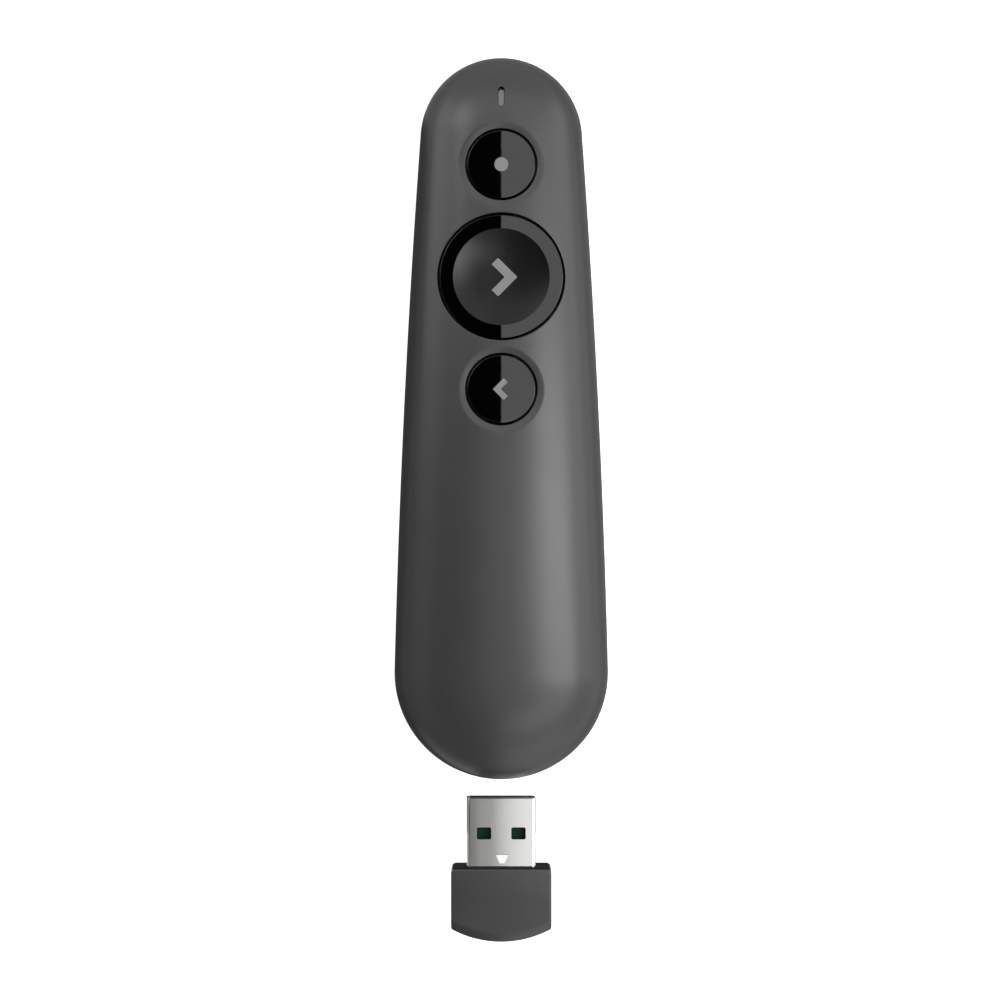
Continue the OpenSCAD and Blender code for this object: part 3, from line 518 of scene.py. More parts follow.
BRASS = finish("turned_brass", (0.58, 0.38, 0.13), 0.28, metal=1.0, grain=0.12, run=(1, 3, 1))
GOLD = finish("thin_gold", (0.78, 0.53, 0.2), 0.25, metal=1.0, grain=0.08, depth=0.12)
LENS = finish("lens_glass", (0.8, 0.85, 0.87), 0.05, grain=0.1, depth=0.02, spread=0.02)
RED_WINDOW = finish("red_window", (0.05, 0.003, 0.004), 0.05, grain=0.2, depth=0.02, spread=0.02)
GLOSS_BLACK = finish("polished_black", (0.0008, 0.0008, 0.0009), 0.012, grain=0.5, depth=0.002,
                     shade=0.1, spread=0.004)
dress(BRASS, "laser_barrel")
dress(GOLD, "laser_diode", "usb_contacts")
dress(LENS, "laser_lens")
dress(RED_WINDOW, "laser_window")


def crown(y):
    """Height of the dome's top along its middle line."""
    return BODY_H - CROWN_R + sqrt(CROWN_R ** 2 - (y - CROWN_Y) ** 2)


def reach_share(x, y, inset):
    """How far a point lies from the middle line to the rim, 0 to 1."""
    x = abs(x)
    if atan2(y - NOSE_C, x) >= NOSE_A:
        return hypot(x, y - NOSE_C) / (NOSE_R - inset)
    if atan2(y - TAIL_C, x) <= TAIL_A:
        return hypot(x, y - TAIL_C) / (TAIL_R - inset)
    a = atan2(y - SIDE_CY, x - SIDE_CX)
    return (x / cos(a)) / (SIDE_R + SIDE_CX / cos(a) - inset)


def dome(x, y, inset=0.0):
    share = min(reach_share(x, y, inset), 1.0)
    return PART_Z + (crown(y) - inset - PART_Z) * (1 - share ** DOME_N) ** (1 / DOME_N)


def dome_ring(half, turn, inset):
    """The ring of the dome at an angle up from the parting line, in degrees."""
    t = radians(turn)
    lift = sin(t) ** (2 / DOME_N)
    return around(half, cos(t) ** (2 / DOME_N), inset,
                  lambda x, y: PART_Z + (crown(y) - inset - PART_Z) * lift)


def whole_form():
    """The outer form of both shells as one solid, a little inside their faces."""
    half = outline(*WHOLE_STEPS)
    rings = list(reversed(tub(half, BEZEL_BACK, BEZEL_BACK)))[:-1]
    rings += [dome_ring(half, turn, BEZEL_BACK) for turn in list(range(0, 86, 5)) + [86]]
    return piece_from("whole_form", closed_form(rings))


bezel_l = NOSE_Y - ring_low.y
bezel = rod(0, ring_low.y, PART_Z, window_r, bezel_l + PAST, along="y")
combine(bezel, "INTERSECT", whole_form())
bezel_hole = rod(0, ring_low.y - PAST, PART_Z, BEZEL_HOLE_R, bezel_l + 3 * PAST, along="y")
pane_seat = rod(0, pane_low.y, PART_Z, pane_high.x + PANE_FIT, NOSE_Y - pane_low.y + 2 * PAST,
                along="y")
cut(bezel, bezel_hole, pane_seat)
smooth(rounded_edges(bezel, BEZEL_EDGE))
place(bezel, "laser_bezel", GLOSS_BLACK, "clicker", "gloss_black", "window_ring")

# ---- Switches and plungers ----------------------------------------------------------
# Three low push switches, soldered to the board under the buttons: black cases with natural nylon
# plungers, on which the stems of the caps rest.

SWITCH_BLACK = finish("switch_black", (0.03, 0.03, 0.032), 0.45, grain=0.1, depth=0.3)
NYLON = finish("natural_nylon", (0.55, 0.47, 0.34), 0.4, grain=0.12)
dress(SWITCH_BLACK, "laser_switch", "next_switch", "back_switch")
dress(NYLON, "laser_plunger", "next_plunger", "back_plunger")

# ---- Top shell -------------------------------------------------------------------------
# The domed half of the case, moulded and coated like the lower one. The small buttons lie in sloped
# rings, the big one in a hole with a fine rounded edge, the light pipe in a slot near the nose.
# Four bosses inside take the frame's screws, and one at the tail takes the rear case screw.

FLAT_SHARE = 0.8
SMALL_R = 5.65
BIG_R = 10.3
BUTTON_GAP = 0.4
RING_W = 1.1
RING_DEPTH = 0.3
RING_BLEND = 0.22
LIGHT_W = 1.1
LIGHT_L = 3.4
PLAN_STEP = 0.75
PLAN_CLEAR = 0.45
INNER_STEP = 2.2
INNER_CLEAR = 0.8
ROW_SHARE = 0.866
RIM_STEPS = (44, 110, 40)
FIRST_TURN = 1.5
SMALL_HOLE_EDGE = 0.12
BIG_HOLE_EDGE = 0.15
SLOT_EDGE = 0.05
SMALL_BAND = 1.35
BIG_BAND = 0.5
SLOT_BAND = 0.35
PAD_H = 0.6
BOSS_R = 2.2
THREAD_L = 4.0
THREAD_FIT = 0.02
# How far below the outer face the painted shade begins.
PAINTED_SHADE_DEPTH = 0.5


def middle(node):
    """Where a node's middle lies along the case."""
    low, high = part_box(node)
    return (low.y + high.y) / 2 / MM


next_y = middle("next_plunger")
laser_y = middle("laser_plunger")
back_y = middle("back_plunger")
light_y = middle("status_light_pipe")


def fillet_drop(off, radius):
    """How far a rounded edge lies below the face at a distance from the hole."""
    return 0.0 if off >= radius else radius - sqrt(radius ** 2 - (radius - off) ** 2)


def ring_drop(off):
    """Depth of the sloped ring at a distance from a small button's hole."""
    u = RING_W - off
    steep = RING_DEPTH / RING_W
    if u <= -RING_BLEND:
        return 0.0
    return steep * u if u >= RING_BLEND else steep * (u + RING_BLEND) ** 2 / (4 * RING_BLEND)


def disc(y, r, n):
    """A circle around a button, at a distance off its hole."""
    return lambda off: [(u, y + v) for u, v in circle(r + off, n)]


def stadium(y, w, l, n):
    """The same for a slot with round ends."""
    def loop(off):
        r, reach = w / 2 + off, (l - w) / 2
        points = []
        for way in (1, -1):
            points += [(way * r * cos(a), y + way * (reach + r * sin(a))) for a in spaced(0, pi, n)]
            points += [(-way * r, y + way * up) for up in spaced(reach, -reach, 8)[1:-1]]
        return points
    return loop


# Each opening: its loop, its edge's radius, its sloped ring, how far its bands of points reach and
# how many there are.
in_ring = dict(edge=SMALL_HOLE_EDGE, ring=ring_drop, reach=SMALL_BAND, bands=16)
plain = dict(ring=lambda off: 0.0, bands=3)
openings = [
    dict(in_ring, loop=disc(laser_y, SMALL_R + BUTTON_GAP, 128)),
    dict(in_ring, loop=disc(back_y, SMALL_R + BUTTON_GAP, 128)),
    dict(plain, loop=disc(next_y, BIG_R + BUTTON_GAP, 200), edge=BIG_HOLE_EDGE, reach=BIG_BAND),
    dict(plain, loop=stadium(light_y, LIGHT_W, LIGHT_L, 16), edge=SLOT_EDGE, reach=SLOT_BAND),
]


def inside(point, loop):
    """Whether a point lies within a closed loop."""
    x, y = point
    crossings = 0
    for (x0, y0), (x1, y1) in zip(loop, loop[1:] + loop[:1]):
        if (y0 > y) != (y1 > y) and x < x0 + (y - y0) * (x1 - x0) / (y1 - y0):
            crossings += 1
    return crossings % 2 == 1


def plan(outer, holes, step, clear):
    """Triangles between an outer loop and holes, on a staggered grid that stays clear of them."""
    border = [p for loop in [outer] + holes for p in loop]
    edges, start = [], 0
    for loop in [outer] + holes:
        edges += [(start + i, start + (i + 1) % len(loop)) for i in range(len(loop))]
        start += len(loop)
    points = list(border)
    xs, ys = [p[0] for p in outer], [p[1] for p in outer]
    rows = int((max(ys) - min(ys)) / (step * ROW_SHARE)) + 1
    for row in range(rows):
        y = min(ys) + row * step * ROW_SHARE
        near = [p for p in border if abs(p[1] - y) < clear]
        x = min(xs) + (row % 2) * step / 2
        while x < max(xs):
            if inside((x, y), outer) and not any(inside((x, y), hole) for hole in holes):
                if all((p[0] - x) ** 2 + (p[1] - y) ** 2 > clear ** 2 for p in near):
                    points.append((x, y))
            x += step
    made, _, faces = delaunay_2d_cdt([Vector(p) for p in points], edges, [], 1, 1e-5)[:3]
    kept = []
    for face in faces:
        centre = sum((made[i] for i in face), Vector((0, 0))) / len(face)
        if not any(inside(centre, hole) for hole in holes):
            kept.append(tuple(face))
    return [(p.x, p.y) for p in made], kept


class Sheet:
    """Points and faces that are gathered into one mesh."""

    def __init__(self):
        self.points, self.faces = [], []

    def add(self, points, faces):
        start = len(self.points)
        self.points += points
        self.faces += [tuple(i + start for i in face) for face in faces]


def dome_skin(half, inset, fine):
    """The dome between its rim and its openings, and the rim. A fine skin has the openings' rounded
    edges and sloped rings."""
    sheet = Sheet()
    step, clear = (PLAN_STEP, PLAN_CLEAR) if fine else (INNER_STEP, INNER_CLEAR)
    last = degrees(acos(FLAT_SHARE ** (DOME_N / 2)))
    turns = spaced(FIRST_TURN, last, 18) if fine else spaced(0.0, last, 6)
    rings = (lip(half, 1) if fine else []) + [dome_ring(half, turn, inset) for turn in turns]
    sheet.add(*loft(rings, capped=False))
    holes = []
    for opening in openings:
        loop, edge = opening["loop"], opening["edge"]
        offs = [0.0]
        if fine:
            offs = [edge * (1 - cos(radians(a))) for a in (0, 20, 38, 54, 68, 80)]
            offs += spaced(edge, opening["reach"], opening["bands"])
            bands = [[(x, y, dome(x, y) - opening["ring"](off) - fillet_drop(off, edge))
                      for x, y in loop(off)] for off in offs]
            sheet.add(*loft(bands, capped=False))
        holes.append(loop(offs[-1]))
    outer = [(x, y) for x, y, _ in rings[-1]]
    flat, faces = plan(outer, holes, step, clear)
    sheet.add([(x, y, dome(x, y, inset)) for x, y in flat], faces)
    return sheet, rings[0]


def paint_faces(piece, materials, choose):
    """Gives a piece its materials. choose(centre in mm, normal) is the number of a face's own."""
    piece.data.materials.clear()
    for material in materials:
        piece.data.materials.append(material)
    for face in piece.data.polygons:
        face.material_index = choose(face.center / MM, face.normal)


rim_outline = outline(*RIM_STEPS)
top, top_rim = dome_skin(rim_outline, 0.0, True)
inner, inner_rim = dome_skin(rim_outline, WALL, False)
top.add(inner.points, inner.faces)
top.add(*loft([top_rim, inner_rim], capped=False))
for opening in openings:
    loop = opening["loop"](0.0)
    edge = [(x, y, dome(x, y) - opening["ring"](0.0) - opening["edge"]) for x, y in loop]
    foot = [(x, y, dome(x, y, WALL)) for x, y in loop]
    top.add(*loft([edge, foot], capped=False))
top_casing = piece_from("top_casing", (top.points, top.faces))

frame_screw_low, frame_screw_high = [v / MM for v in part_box("frame_screws")]
screw_x = frame_screw_high.x - SCREW_HEAD_R
boss_spots = [(side * screw_x, y, board_z - PAD_H) for side in (-1, 1)
              for y in (frame_screw_high.y - SCREW_HEAD_R, frame_screw_low.y + SCREW_HEAD_R)]
for x, y, foot in boss_spots + [(0.0, tail_screw_y, roof_z + DOCK_ROOF)]:
    boss = rod(x, y, foot, BOSS_R, dome(x, y, WALL) + WALL / 3 - foot)
    join(top_casing, boss)
    thread = rod(x, y, foot - BITE, SCREW_R + THREAD_FIT, THREAD_L + BITE)
    cut(top_casing, thread)
seat = rod(0, barrel_low.y, PART_Z, window_r + SEAT_FIT, NOSE_Y - barrel_low.y + PAST, along="y")
cut(top_casing, seat)
smooth(top_casing)
# The soft-touch coat covers what shows from outside. Deeper than that, on the hole walls, the
# bosses and inside, the shell is painted near-black with almost no gloss: painted shade that makes
# the gaps round the buttons black.
PAINTED_SHADE_BLACK = finish("painted_shade_black", (0.004, 0.004, 0.004), 0.6, grain=0.2, specular=0.02)
paint_faces(top_casing, (SOFT_TOUCH, PAINTED_SHADE_BLACK),
            lambda spot, normal: int(spot.z < dome(spot.x, spot.y) - PAINTED_SHADE_DEPTH))
place(top_casing, "top_casing", SOFT_TOUCH, "clicker", "soft_shell", "top_shell")

# ---- Status light pipe -------------------------------------------------------------
# A smoked clear rod of slot shape, clipped in from below. Its collar stops it under the nose, and
# it carries the diode's light up to just below the shell.

LIGHT_FIT = 0.02
LIGHT_SUNK = 0.35
LIGHT_EDGE = 0.05
LIGHT_NOTCH_L = 0.5
LIGHT_NOTCH_D = 1.6
COLLAR_W = 0.8
COLLAR_T = 0.5
LIGHT_GRID = 0.3
LIGHT_CLEAR = 0.17
led_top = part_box("status_led")[1].z / MM


def patch(loop, height, step, clear):
    """Closes a small loop with a finely divided face that follows a height."""
    flat, faces = plan(loop, [], step, clear)
    return [(x, y, height(x, y)) for x, y in flat], faces


light_loop = stadium(light_y, LIGHT_W, LIGHT_L, 14)
face_loop = stadium(light_y - LIGHT_NOTCH_L / 2, LIGHT_W, LIGHT_L - LIGHT_NOTCH_L, 14)
light_rings = [[(x, y, led_top) for x, y in light_loop(-LIGHT_FIT)],
               [(x, y, dome(x, y) - LIGHT_NOTCH_D) for x, y in light_loop(-LIGHT_FIT)],
               [(x, y, dome(x, y) - LIGHT_NOTCH_D) for x, y in face_loop(-LIGHT_FIT)]]
quarter = [radians(a) for a in range(0, 91, 15)]
for a in quarter:
    inset = LIGHT_FIT + LIGHT_EDGE * (1 - cos(a))
    down = LIGHT_SUNK + LIGHT_EDGE * (1 - sin(a))
    light_rings.append([(x, y, dome(x, y) - down) for x, y in face_loop(-inset)])
light_sheet = Sheet()
light_sheet.add(*loft(light_rings, capped=False))
light_sheet.add(light_rings[0], [tuple(range(len(light_rings[0])))])
light_sheet.add(*patch([(x, y) for x, y, _ in light_rings[-1]],
                       lambda x, y: dome(x, y) - LIGHT_SUNK, LIGHT_GRID, LIGHT_CLEAR))
light_rod = piece_from("light_rod", (light_sheet.points, light_sheet.faces))
collar_y = LIGHT_L / 2 + COLLAR_W
collar_z = dome(0, light_y + collar_y, WALL) - LOOSE
collar_x = LIGHT_W / 2 + COLLAR_W
collar = block(-collar_x, collar_x, light_y - collar_y, light_y + collar_y,
               collar_z - COLLAR_T, collar_z)
join(light_rod, collar)
smooth(light_rod)
SMOKED_CLEAR = finish("smoked_clear", (0.17, 0.17, 0.168), 0.32, grain=0.2, depth=0.05,
                      spread=0.02)
place(light_rod, "light_rod", SMOKED_CLEAR, "clicker", "light_pipe", "status_light_pipe")

# ---- Buttons -----------------------------------------------------------------------
# Three polished black caps, each with a skirt, a stem that rests on its switch's plunger, and two
# tabs that hold it under the shell. The big one has a satin dish. Their signs are printed in grey.

SKIRT_H = 3.4
CAP_WALL = 1.2
STEM_R = 1.5
TAB_W = 4.0
TAB_REACH = 1.0
TAB_T = 0.9
DISH_R = 8.1
DISH_D = 0.9
DISH_CURVE = 2.3
BIG_SUNK = 0.9
SMALL_SUNK = 0.45
CAP_SIDES = 160
CAP_EDGE = 0.09
PRINT_UP = 0.02
PRINT_DOWN = 0.25
PRINT_CORNER = 0.15
PRINT_GRID = 0.45
PRINT_CLEAR = 0.12
PRINT_PITCH = 0.4
DOT_R = 1.17
NEXT_ARROW = dict(h=3.24, stroke=1.52, tip=2.7)
BACK_ARROW = dict(h=1.84, stroke=0.95, tip=1.43)
DISH_SLACK = 0.05
plunger_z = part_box("next_plunger")[1].z / MM
next_face = crown(next_y) - BIG_SUNK
laser_face = crown(laser_y) - SMALL_SUNK
back_face = crown(back_y) - SMALL_SUNK


def dish(r):
    """Depth of the big button's dish at a distance from its middle, where it is flattest."""
    return DISH_D * (1 - min(r / DISH_R, 1.0) ** DISH_CURVE)


def cap(name, y, r, face, dished, body, node):
    """A button's cap, turned from its profile, with two tabs: polished on top, painted shade
    on its skirt.
    """
    deep = DISH_D if dished else 0.0
    profile = [(0.0, plunger_z), (STEM_R, plunger_z), (STEM_R, face - deep - CAP_WALL),
               (r - CAP_WALL, face - deep - CAP_WALL), (r - CAP_WALL, face - SKIRT_H),
               (r, face - SKIRT_H)]
    for a in [radians(turn) for turn in range(0, 91, 6)]:
        profile.append((r - CAP_EDGE + CAP_EDGE * cos(a), face - CAP_EDGE + CAP_EDGE * sin(a)))
    if dished:
        profile += [(u, face - dish(u)) for u in spaced(DISH_R, 0.0, 24)]
    else:
        profile += [(u, face) for u in spaced(r - CAP_EDGE, 0.0, 5)[1:]]
    rings = [[(x, y + v, z) for x, v in circle(u, CAP_SIDES)] for u, z in profile]
    piece = piece_from(name, loft(rings, capped=False))
    reach = r + BUTTON_GAP + TAB_REACH
    tab_z = min(crown(y + reach), crown(y - reach)) - WALL - LOOSE
    tabs = block(-TAB_W / 2, TAB_W / 2, y - reach - PAST, y + reach + PAST, tab_z - TAB_T, tab_z)
    combine(tabs, "INTERSECT", rod(0, y, tab_z - TAB_T - BITE, reach, TAB_T + 2 * BITE, sides=96))
    cut(tabs, rod(0, y, tab_z - TAB_T - 2 * BITE, r - CAP_WALL / 2, TAB_T + 4 * BITE, sides=96))
    join(piece, tabs)
    smooth(piece, 8)

    def surface(spot, normal):
        off = hypot(spot.x, spot.y - y)
        if dished and off < DISH_R and spot.z > face - deep - DISH_SLACK:
            return 1
        # Below the rounded edge the skirt, seen in the gap, is painted near-black as shade.
        return 2 if spot.z < face - CAP_EDGE else 0

    paint_faces(piece, (GLOSS_BLACK, DISH_SATIN, PAINTED_SHADE_BLACK), surface)
    place(piece, name, GLOSS_BLACK, body, "gloss_black", node)


def chevron(h, stroke, tip, way):
    """Corners of an arrow head that points right, or left where way is -1."""
    c = stroke / sqrt(2)
    right = [(tip, 0), (tip - h, h), (tip - h - c, h - c), (tip - 2 * c, 0),
             (tip - h - c, c - h), (tip - h, -h)]
    return [(way * x, way * y) for x, y in right]


def rounded(corners, r, steps=5):
    """A closed loop whose corners are rounded, with points no more than PRINT_PITCH apart."""
    loop = []
    for i, corner in enumerate(corners):
        here = Vector(corner)
        back = (Vector(corners[i - 1]) - here).normalized()
        ahead = (Vector(corners[(i + 1) % len(corners)]) - here).normalized()
        half = back.angle(ahead) / 2
        centre = here + (back + ahead).normalized() * (r / sin(half))
        start = here + back * (r / tan(half)) - centre
        end = here + ahead * (r / tan(half)) - centre
        a = atan2(start.y, start.x)
        turn = (atan2(end.y, end.x) - a + pi) % (2 * pi) - pi
        loop += [(centre.x + r * cos(b), centre.y + r * sin(b))
                 for b in [a + turn * k / steps for k in range(steps + 1)]]
    fine = []
    for (x0, y0), (x1, y1) in zip(loop, loop[1:] + loop[:1]):
        n = max(1, ceil(hypot(x1 - x0, y1 - y0) / PRINT_PITCH))
        fine += [(x0 + (x1 - x0) * k / n, y0 + (y1 - y0) * k / n) for k in range(n)]
    return fine


def printed(name, loop, y, height, body, node):
    """A sign on a button: a thin layer that follows the face."""
    loop = [(u, y + v) for u, v in loop]
    lifts = (PRINT_UP, -PRINT_DOWN)
    layer = Sheet()
    for lift in lifts:
        layer.add(*patch(loop, lambda x, v: height(x, v) + lift, PRINT_GRID, PRINT_CLEAR))
    walls = [[(x, v, height(x, v) + lift) for x, v in loop] for lift in lifts]
    layer.add(*loft(walls, capped=False))
    piece = smooth(piece_from(name, (layer.points, layer.faces)))
    place(piece, name, PRINT_GREY, body, "mark_grey", node)


PRINT_GREY = finish("print_light_grey", (0.212, 0.212, 0.212), 0.55, grain=0.1, depth=0.1,
                    shade=0.03)
DISH_SATIN = finish("satin_black", (0.002, 0.002, 0.002), 0.26, specular=0.24, grain=0.12,
                    depth=0.08, shade=0.08)

cap("laser_cap", laser_y, SMALL_R, laser_face, False, "laser_key", "laser_button")
cap("next_cap", next_y, BIG_R, next_face, True, "next_key", "next_button")
cap("back_cap", back_y, SMALL_R, back_face, False, "back_key", "back_button")
printed("dot_print", circle(DOT_R, 72), laser_y, lambda x, y: laser_face,
        "laser_key", "laser_dot_mark")
printed("next_print", rounded(chevron(**NEXT_ARROW, way=1), PRINT_CORNER), next_y,
        lambda x, y: next_face - dish(hypot(x, y - next_y)), "next_key", "next_arrow_mark")
printed("back_print", rounded(chevron(**BACK_ARROW, way=-1), PRINT_CORNER), back_y,
        lambda x, y: back_face, "back_key", "back_arrow_mark")

# ---- Battery door ------------------------------------------------------------------
# A flat moulded door with a tongue along each side that runs in the lower shell, and four finger
# grooves near its front edge. It has the case's soft-touch coat.

GRIP_N = 4
GRIP_PITCH = 1.8
GRIP_W = 0.8
GRIP_D = 0.4
GRIP_HALF = 6.0
GRIP_IN = 4.0
DOOR_EDGE = 0.15

door_y0 = door_low.y / MM
door = block(-door_half, door_half, door_y0, door_y1, 0, door_high.z / MM)
join(door, block(-rail_half, rail_half, door_y0, door_y1, RAIL_Z, RAIL_Z + RAIL_T))
for i in range(GRIP_N):
    y = door_y1 - GRIP_IN - i * GRIP_PITCH
    cut(door, block(-GRIP_HALF, GRIP_HALF, y, y + GRIP_W, -PAST, GRIP_D))
smooth(rounded_edges(door, DOOR_EDGE))
place(door, "door_panel", SOFT_TOUCH, "door", "soft_shell", "battery_door")

# ---- Screws ------------------------------------------------------------------------
# Six cross-head screws of plain steel. Four hold the frame to the top shell, and two close the
# case, from the battery bay and from the dock's roof, so that none shows.

dress(SPRING_STEEL, "frame_screws", "case_screws")

# ---- Receiver's plug ---------------------------------------------------------------
# A tube bent from nickel-plated sheet, with two windows above and below, a locking tab pressed in
# near the head and its seam underneath. It holds the green tongue with four gold contacts.

SHEET_T = 0.3
PLUG_CORNER = 0.55
PLUG_EDGE = 0.08
WINDOW_W = 2.5
WINDOW_L = 2.1
WINDOW_X = 3.0
WINDOW_BACK = 6.1
WINDOW_CORNER = 0.3
LOCK_BACK = 9.7
LOCK_L = 1.6
LOCK_WIDE = 2.3
LOCK_NARROW = 0.9
LOCK_DEEP = 0.5
LOCK_X = 0.15
LOCK_ROOT = 0.02
LOCK_T = 0.25
SEAM_W = 0.12
SEAM_D = 0.1
LEVEL = 0.999

mouth_y = plug_high.y
plug_y0 = plug_low.y


def slab(x0, x1, z0, z1, r):
    """Loop of a rounded oblong in x and z."""
    return rounded([(x0, z0), (x1, z0), (x1, z1), (x0, z1)], r, steps=8)


def tube_section(inset, y, corner):
    """A ring of the plug's tube, drawn in all round by an inset."""
    half, low, high = plug_high.x - inset, plug_low.z + inset, plug_high.z - inset
    return [(x, y, z) for x, z in slab(-half, half, low, high, corner)]


sections = [tube_section(0, y, PLUG_CORNER) for y in (plug_y0, mouth_y - PLUG_EDGE)]
for a in quarter[2::2]:
    inset = PLUG_EDGE * (1 - cos(a))
    y = mouth_y - PLUG_EDGE * (1 - sin(a))
    sections.append(tube_section(inset, y, PLUG_CORNER - inset))
plug = piece_from("plug", loft(sections))
bore = piece_from("bore", loft([tube_section(SHEET_T, y, PLUG_CORNER - SHEET_T)
                                for y in (plug_y0 - PAST, mouth_y + PAST)]))
cut(plug, bore)
window_y = mouth_y - WINDOW_BACK
for x in (-WINDOW_X, WINDOW_X):
    x0, x1 = x - WINDOW_W / 2, x + WINDOW_W / 2
    y0, y1 = window_y - WINDOW_L / 2, window_y + WINDOW_L / 2
    loop = rounded([(x0, y0), (x1, y0), (x1, y1), (x0, y1)], WINDOW_CORNER)
    cut(plug, prism(loop, plug_low.z - PAST, plug_high.z + PAST))
lock_y1 = mouth_y - LOCK_BACK
lock_y0 = lock_y1 - LOCK_L
lock = [(LOCK_X - LOCK_NARROW / 2, lock_y0), (LOCK_X + LOCK_NARROW / 2, lock_y0),
        (LOCK_X + LOCK_WIDE / 2, lock_y1), (LOCK_X - LOCK_WIDE / 2, lock_y1)]
cut(plug, prism(lock, plug_high.z - PAST, plug_high.z + PAST))
tab_top = [(x, y, plug_high.z - (LOCK_DEEP if y > lock_y0 else LOCK_ROOT)) for x, y in lock]
tab_low = [(x, y, z - LOCK_T) for x, y, z in tab_top]
join(plug, piece_from("tab", loft([tab_low, tab_top])))
seam = block(-SEAM_W / 2, SEAM_W / 2, plug_y0 - PAST, mouth_y + PAST,
             plug_low.z - PAST, plug_low.z + SEAM_D)
cut(plug, seam)
smooth(plug)
# Its level faces are flat, so that only the bends shade round.
for side in plug.data.polygons:
    side.use_smooth = abs(side.normal.z) < LEVEL
PLUG_STEEL = finish("brushed_nickel", (0.72, 0.72, 0.70), 0.09, metal=1.0, grain=0.12, depth=0.06,
                    shade=0.03, spread=0.03, run=(1, 0.12, 1))
TONGUE_GREEN = finish("green_glass_epoxy", (0.001, 0.05, 0.022), 0.4, grain=0.2, depth=0.1,
                      shade=0.12, specular=0.1)
place(plug, "plug_sheet", PLUG_STEEL, "receiver", "plug_steel", "usb_shell")
dress(TONGUE_GREEN, "usb_tongue")

# ---- Receiver's head ---------------------------------------------------------------
# The graphite cap behind the plug, moulded in one piece. Its end carries on the tail's round when
# it is docked, it holds the small radio board on two rests, and its front is painted near-black and
# matt: painted shade.

HEAD_CORNER = 0.8
REAR_CORNER = 0.6
HEAD_EDGE = 0.35
BEVEL_IN = 1.3
BEVEL_H = 0.9
HEAD_WALL = 1.0
FRONT_WALL = 1.6
END_WALL = 3.6
REST_W = 1.0
REST_IN = 1.0
REST_PITCH = 2.5
FRONT_FACING = 0.7

head_front = head_high.y
head_half = head_high.x
head_c = head_front + TAIL_R - HEAD_L
bevel_z = head_high.z - BEVEL_H


def end_radius(z):
    """Radius of the head's end at a height, as the tail's form has it."""
    low = min(z, bevel_z)
    g = 1 - low / PART_Z
    share = LAND + (1 - LAND) * (1 - g ** TUB_N) ** (1 / TUB_N)
    return TAIL_R * share - BEVEL_IN * (z - low) / BEVEL_H


def head_ring(z, inset):
    """A ring of the head at a height, drawn in by its rounded edge."""
    half, front, r = head_half - inset, head_front - inset, end_radius(z) - inset
    corner, rear = HEAD_CORNER - inset, REAR_CORNER
    rear_y = head_c - sqrt((r - rear) ** 2 - (half - rear) ** 2)
    meet = atan2(rear_y - head_c, half - rear)
    right = [(r * cos(a), head_c + r * sin(a)) for a in spaced(-pi / 2, meet, 24)]
    right += [(half - rear + rear * cos(a), rear_y + rear * sin(a)) for a in spaced(meet, 0, 8)[1:]]
    right += [(half, y) for y in spaced(rear_y, front - corner, 8)[1:-1]]
    right += [(half - corner + corner * cos(a), front - corner + corner * sin(a))
              for a in spaced(0, pi / 2, 10)]
    right += [(x, front) for x in spaced(half - corner, 0, 5)[1:]]
    right[0] = (0.0, right[0][1])
    left = [(-x, y) for x, y in reversed(right[1:-1])]
    return [(x, y, z) for x, y in right + left]


bevel_top = head_high.z - HEAD_EDGE
head_rings = [head_ring(HEAD_EDGE * (1 - sin(a)), HEAD_EDGE * (1 - cos(a)))
              for a in reversed(quarter)]
head_rings += [head_ring(z, 0) for z in spaced(HEAD_EDGE, bevel_z, 12)[1:]]
head_rings += [head_ring(z, 0) for z in spaced(bevel_z, bevel_top, 4)[1:]]
head_rings += [head_ring(bevel_top + HEAD_EDGE * sin(a), HEAD_EDGE * (1 - cos(a)))
               for a in quarter[1:]]
head = piece_from("head", loft(head_rings))
cavity_y0 = head_c - TAIL_R + END_WALL
cavity_y1 = head_front - FRONT_WALL
cavity = block(HEAD_WALL - head_half, head_half - HEAD_WALL, cavity_y0, cavity_y1,
               HEAD_WALL, head_high.z - HEAD_WALL)
plug_hole = block(-plug_high.x, plug_high.x, cavity_y1 - BITE, head_front + BITE,
                  plug_low.z, plug_high.z)
cut(head, cavity, plug_hole)
stick_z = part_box("receiver_board")[0].z / MM
for y in (cavity_y0 + REST_IN, cavity_y0 + REST_IN + REST_PITCH):
    rest = block(-plug_high.x, plug_high.x, y, y + REST_W, HEAD_WALL - BITE, stick_z)
    join(head, rest)
smooth(head)
HEAD_GRAPHITE = finish("graphite_plastic", (0.032, 0.032, 0.0325), 0.34, grain=0.18,
                       shade=0.04, spread=0.03)
# Faces turned to the front get the painted shade: near-black, nearly without gloss.
paint_faces(head, (HEAD_GRAPHITE, PAINTED_SHADE_BLACK), lambda spot, normal: int(normal.y > FRONT_FACING))
place(head, "head_cap", HEAD_GRAPHITE, "receiver", "receiver_plastic", "receiver_head")

# ---- Table and light ---------------------------------------------------------------
# A white table under a large soft lamp high on the right, and a weaker one behind the nose on the
# left. Around it stands a room of cards that only gloss sees: bright on the right, dark on the
# left, and dim near the case, so that the case turns dark at its edges.

TABLE_R = 3000.0
TABLE_GLOW = 0.9
WORLD_DIM = 0.3
WHITE = (1, 1, 1, 1)
# Where the room's cards meet, in mm from the middle of the case: its ceiling, walls and floor.
CARD_Z = 520.0
FAR = 700.0
SPLIT_X = 0.25
STRIP_X = 52.0
NEAR_X = 60.0
MID_X = 200.0
OUT_X = 600.0
STRIP_TAIL = 10.0
STRIP_NOSE = 165.0
KEY_TAIL = -62.0
TAIL_END = -45.0
WALL_FOOT = 0.5
FLOOR_Z = 0.2
NEAR_Z = 0.4
FLOOR_X = 45.0
FLOOR_NOSE = 70.0
FLOOR_TAIL = -58.0


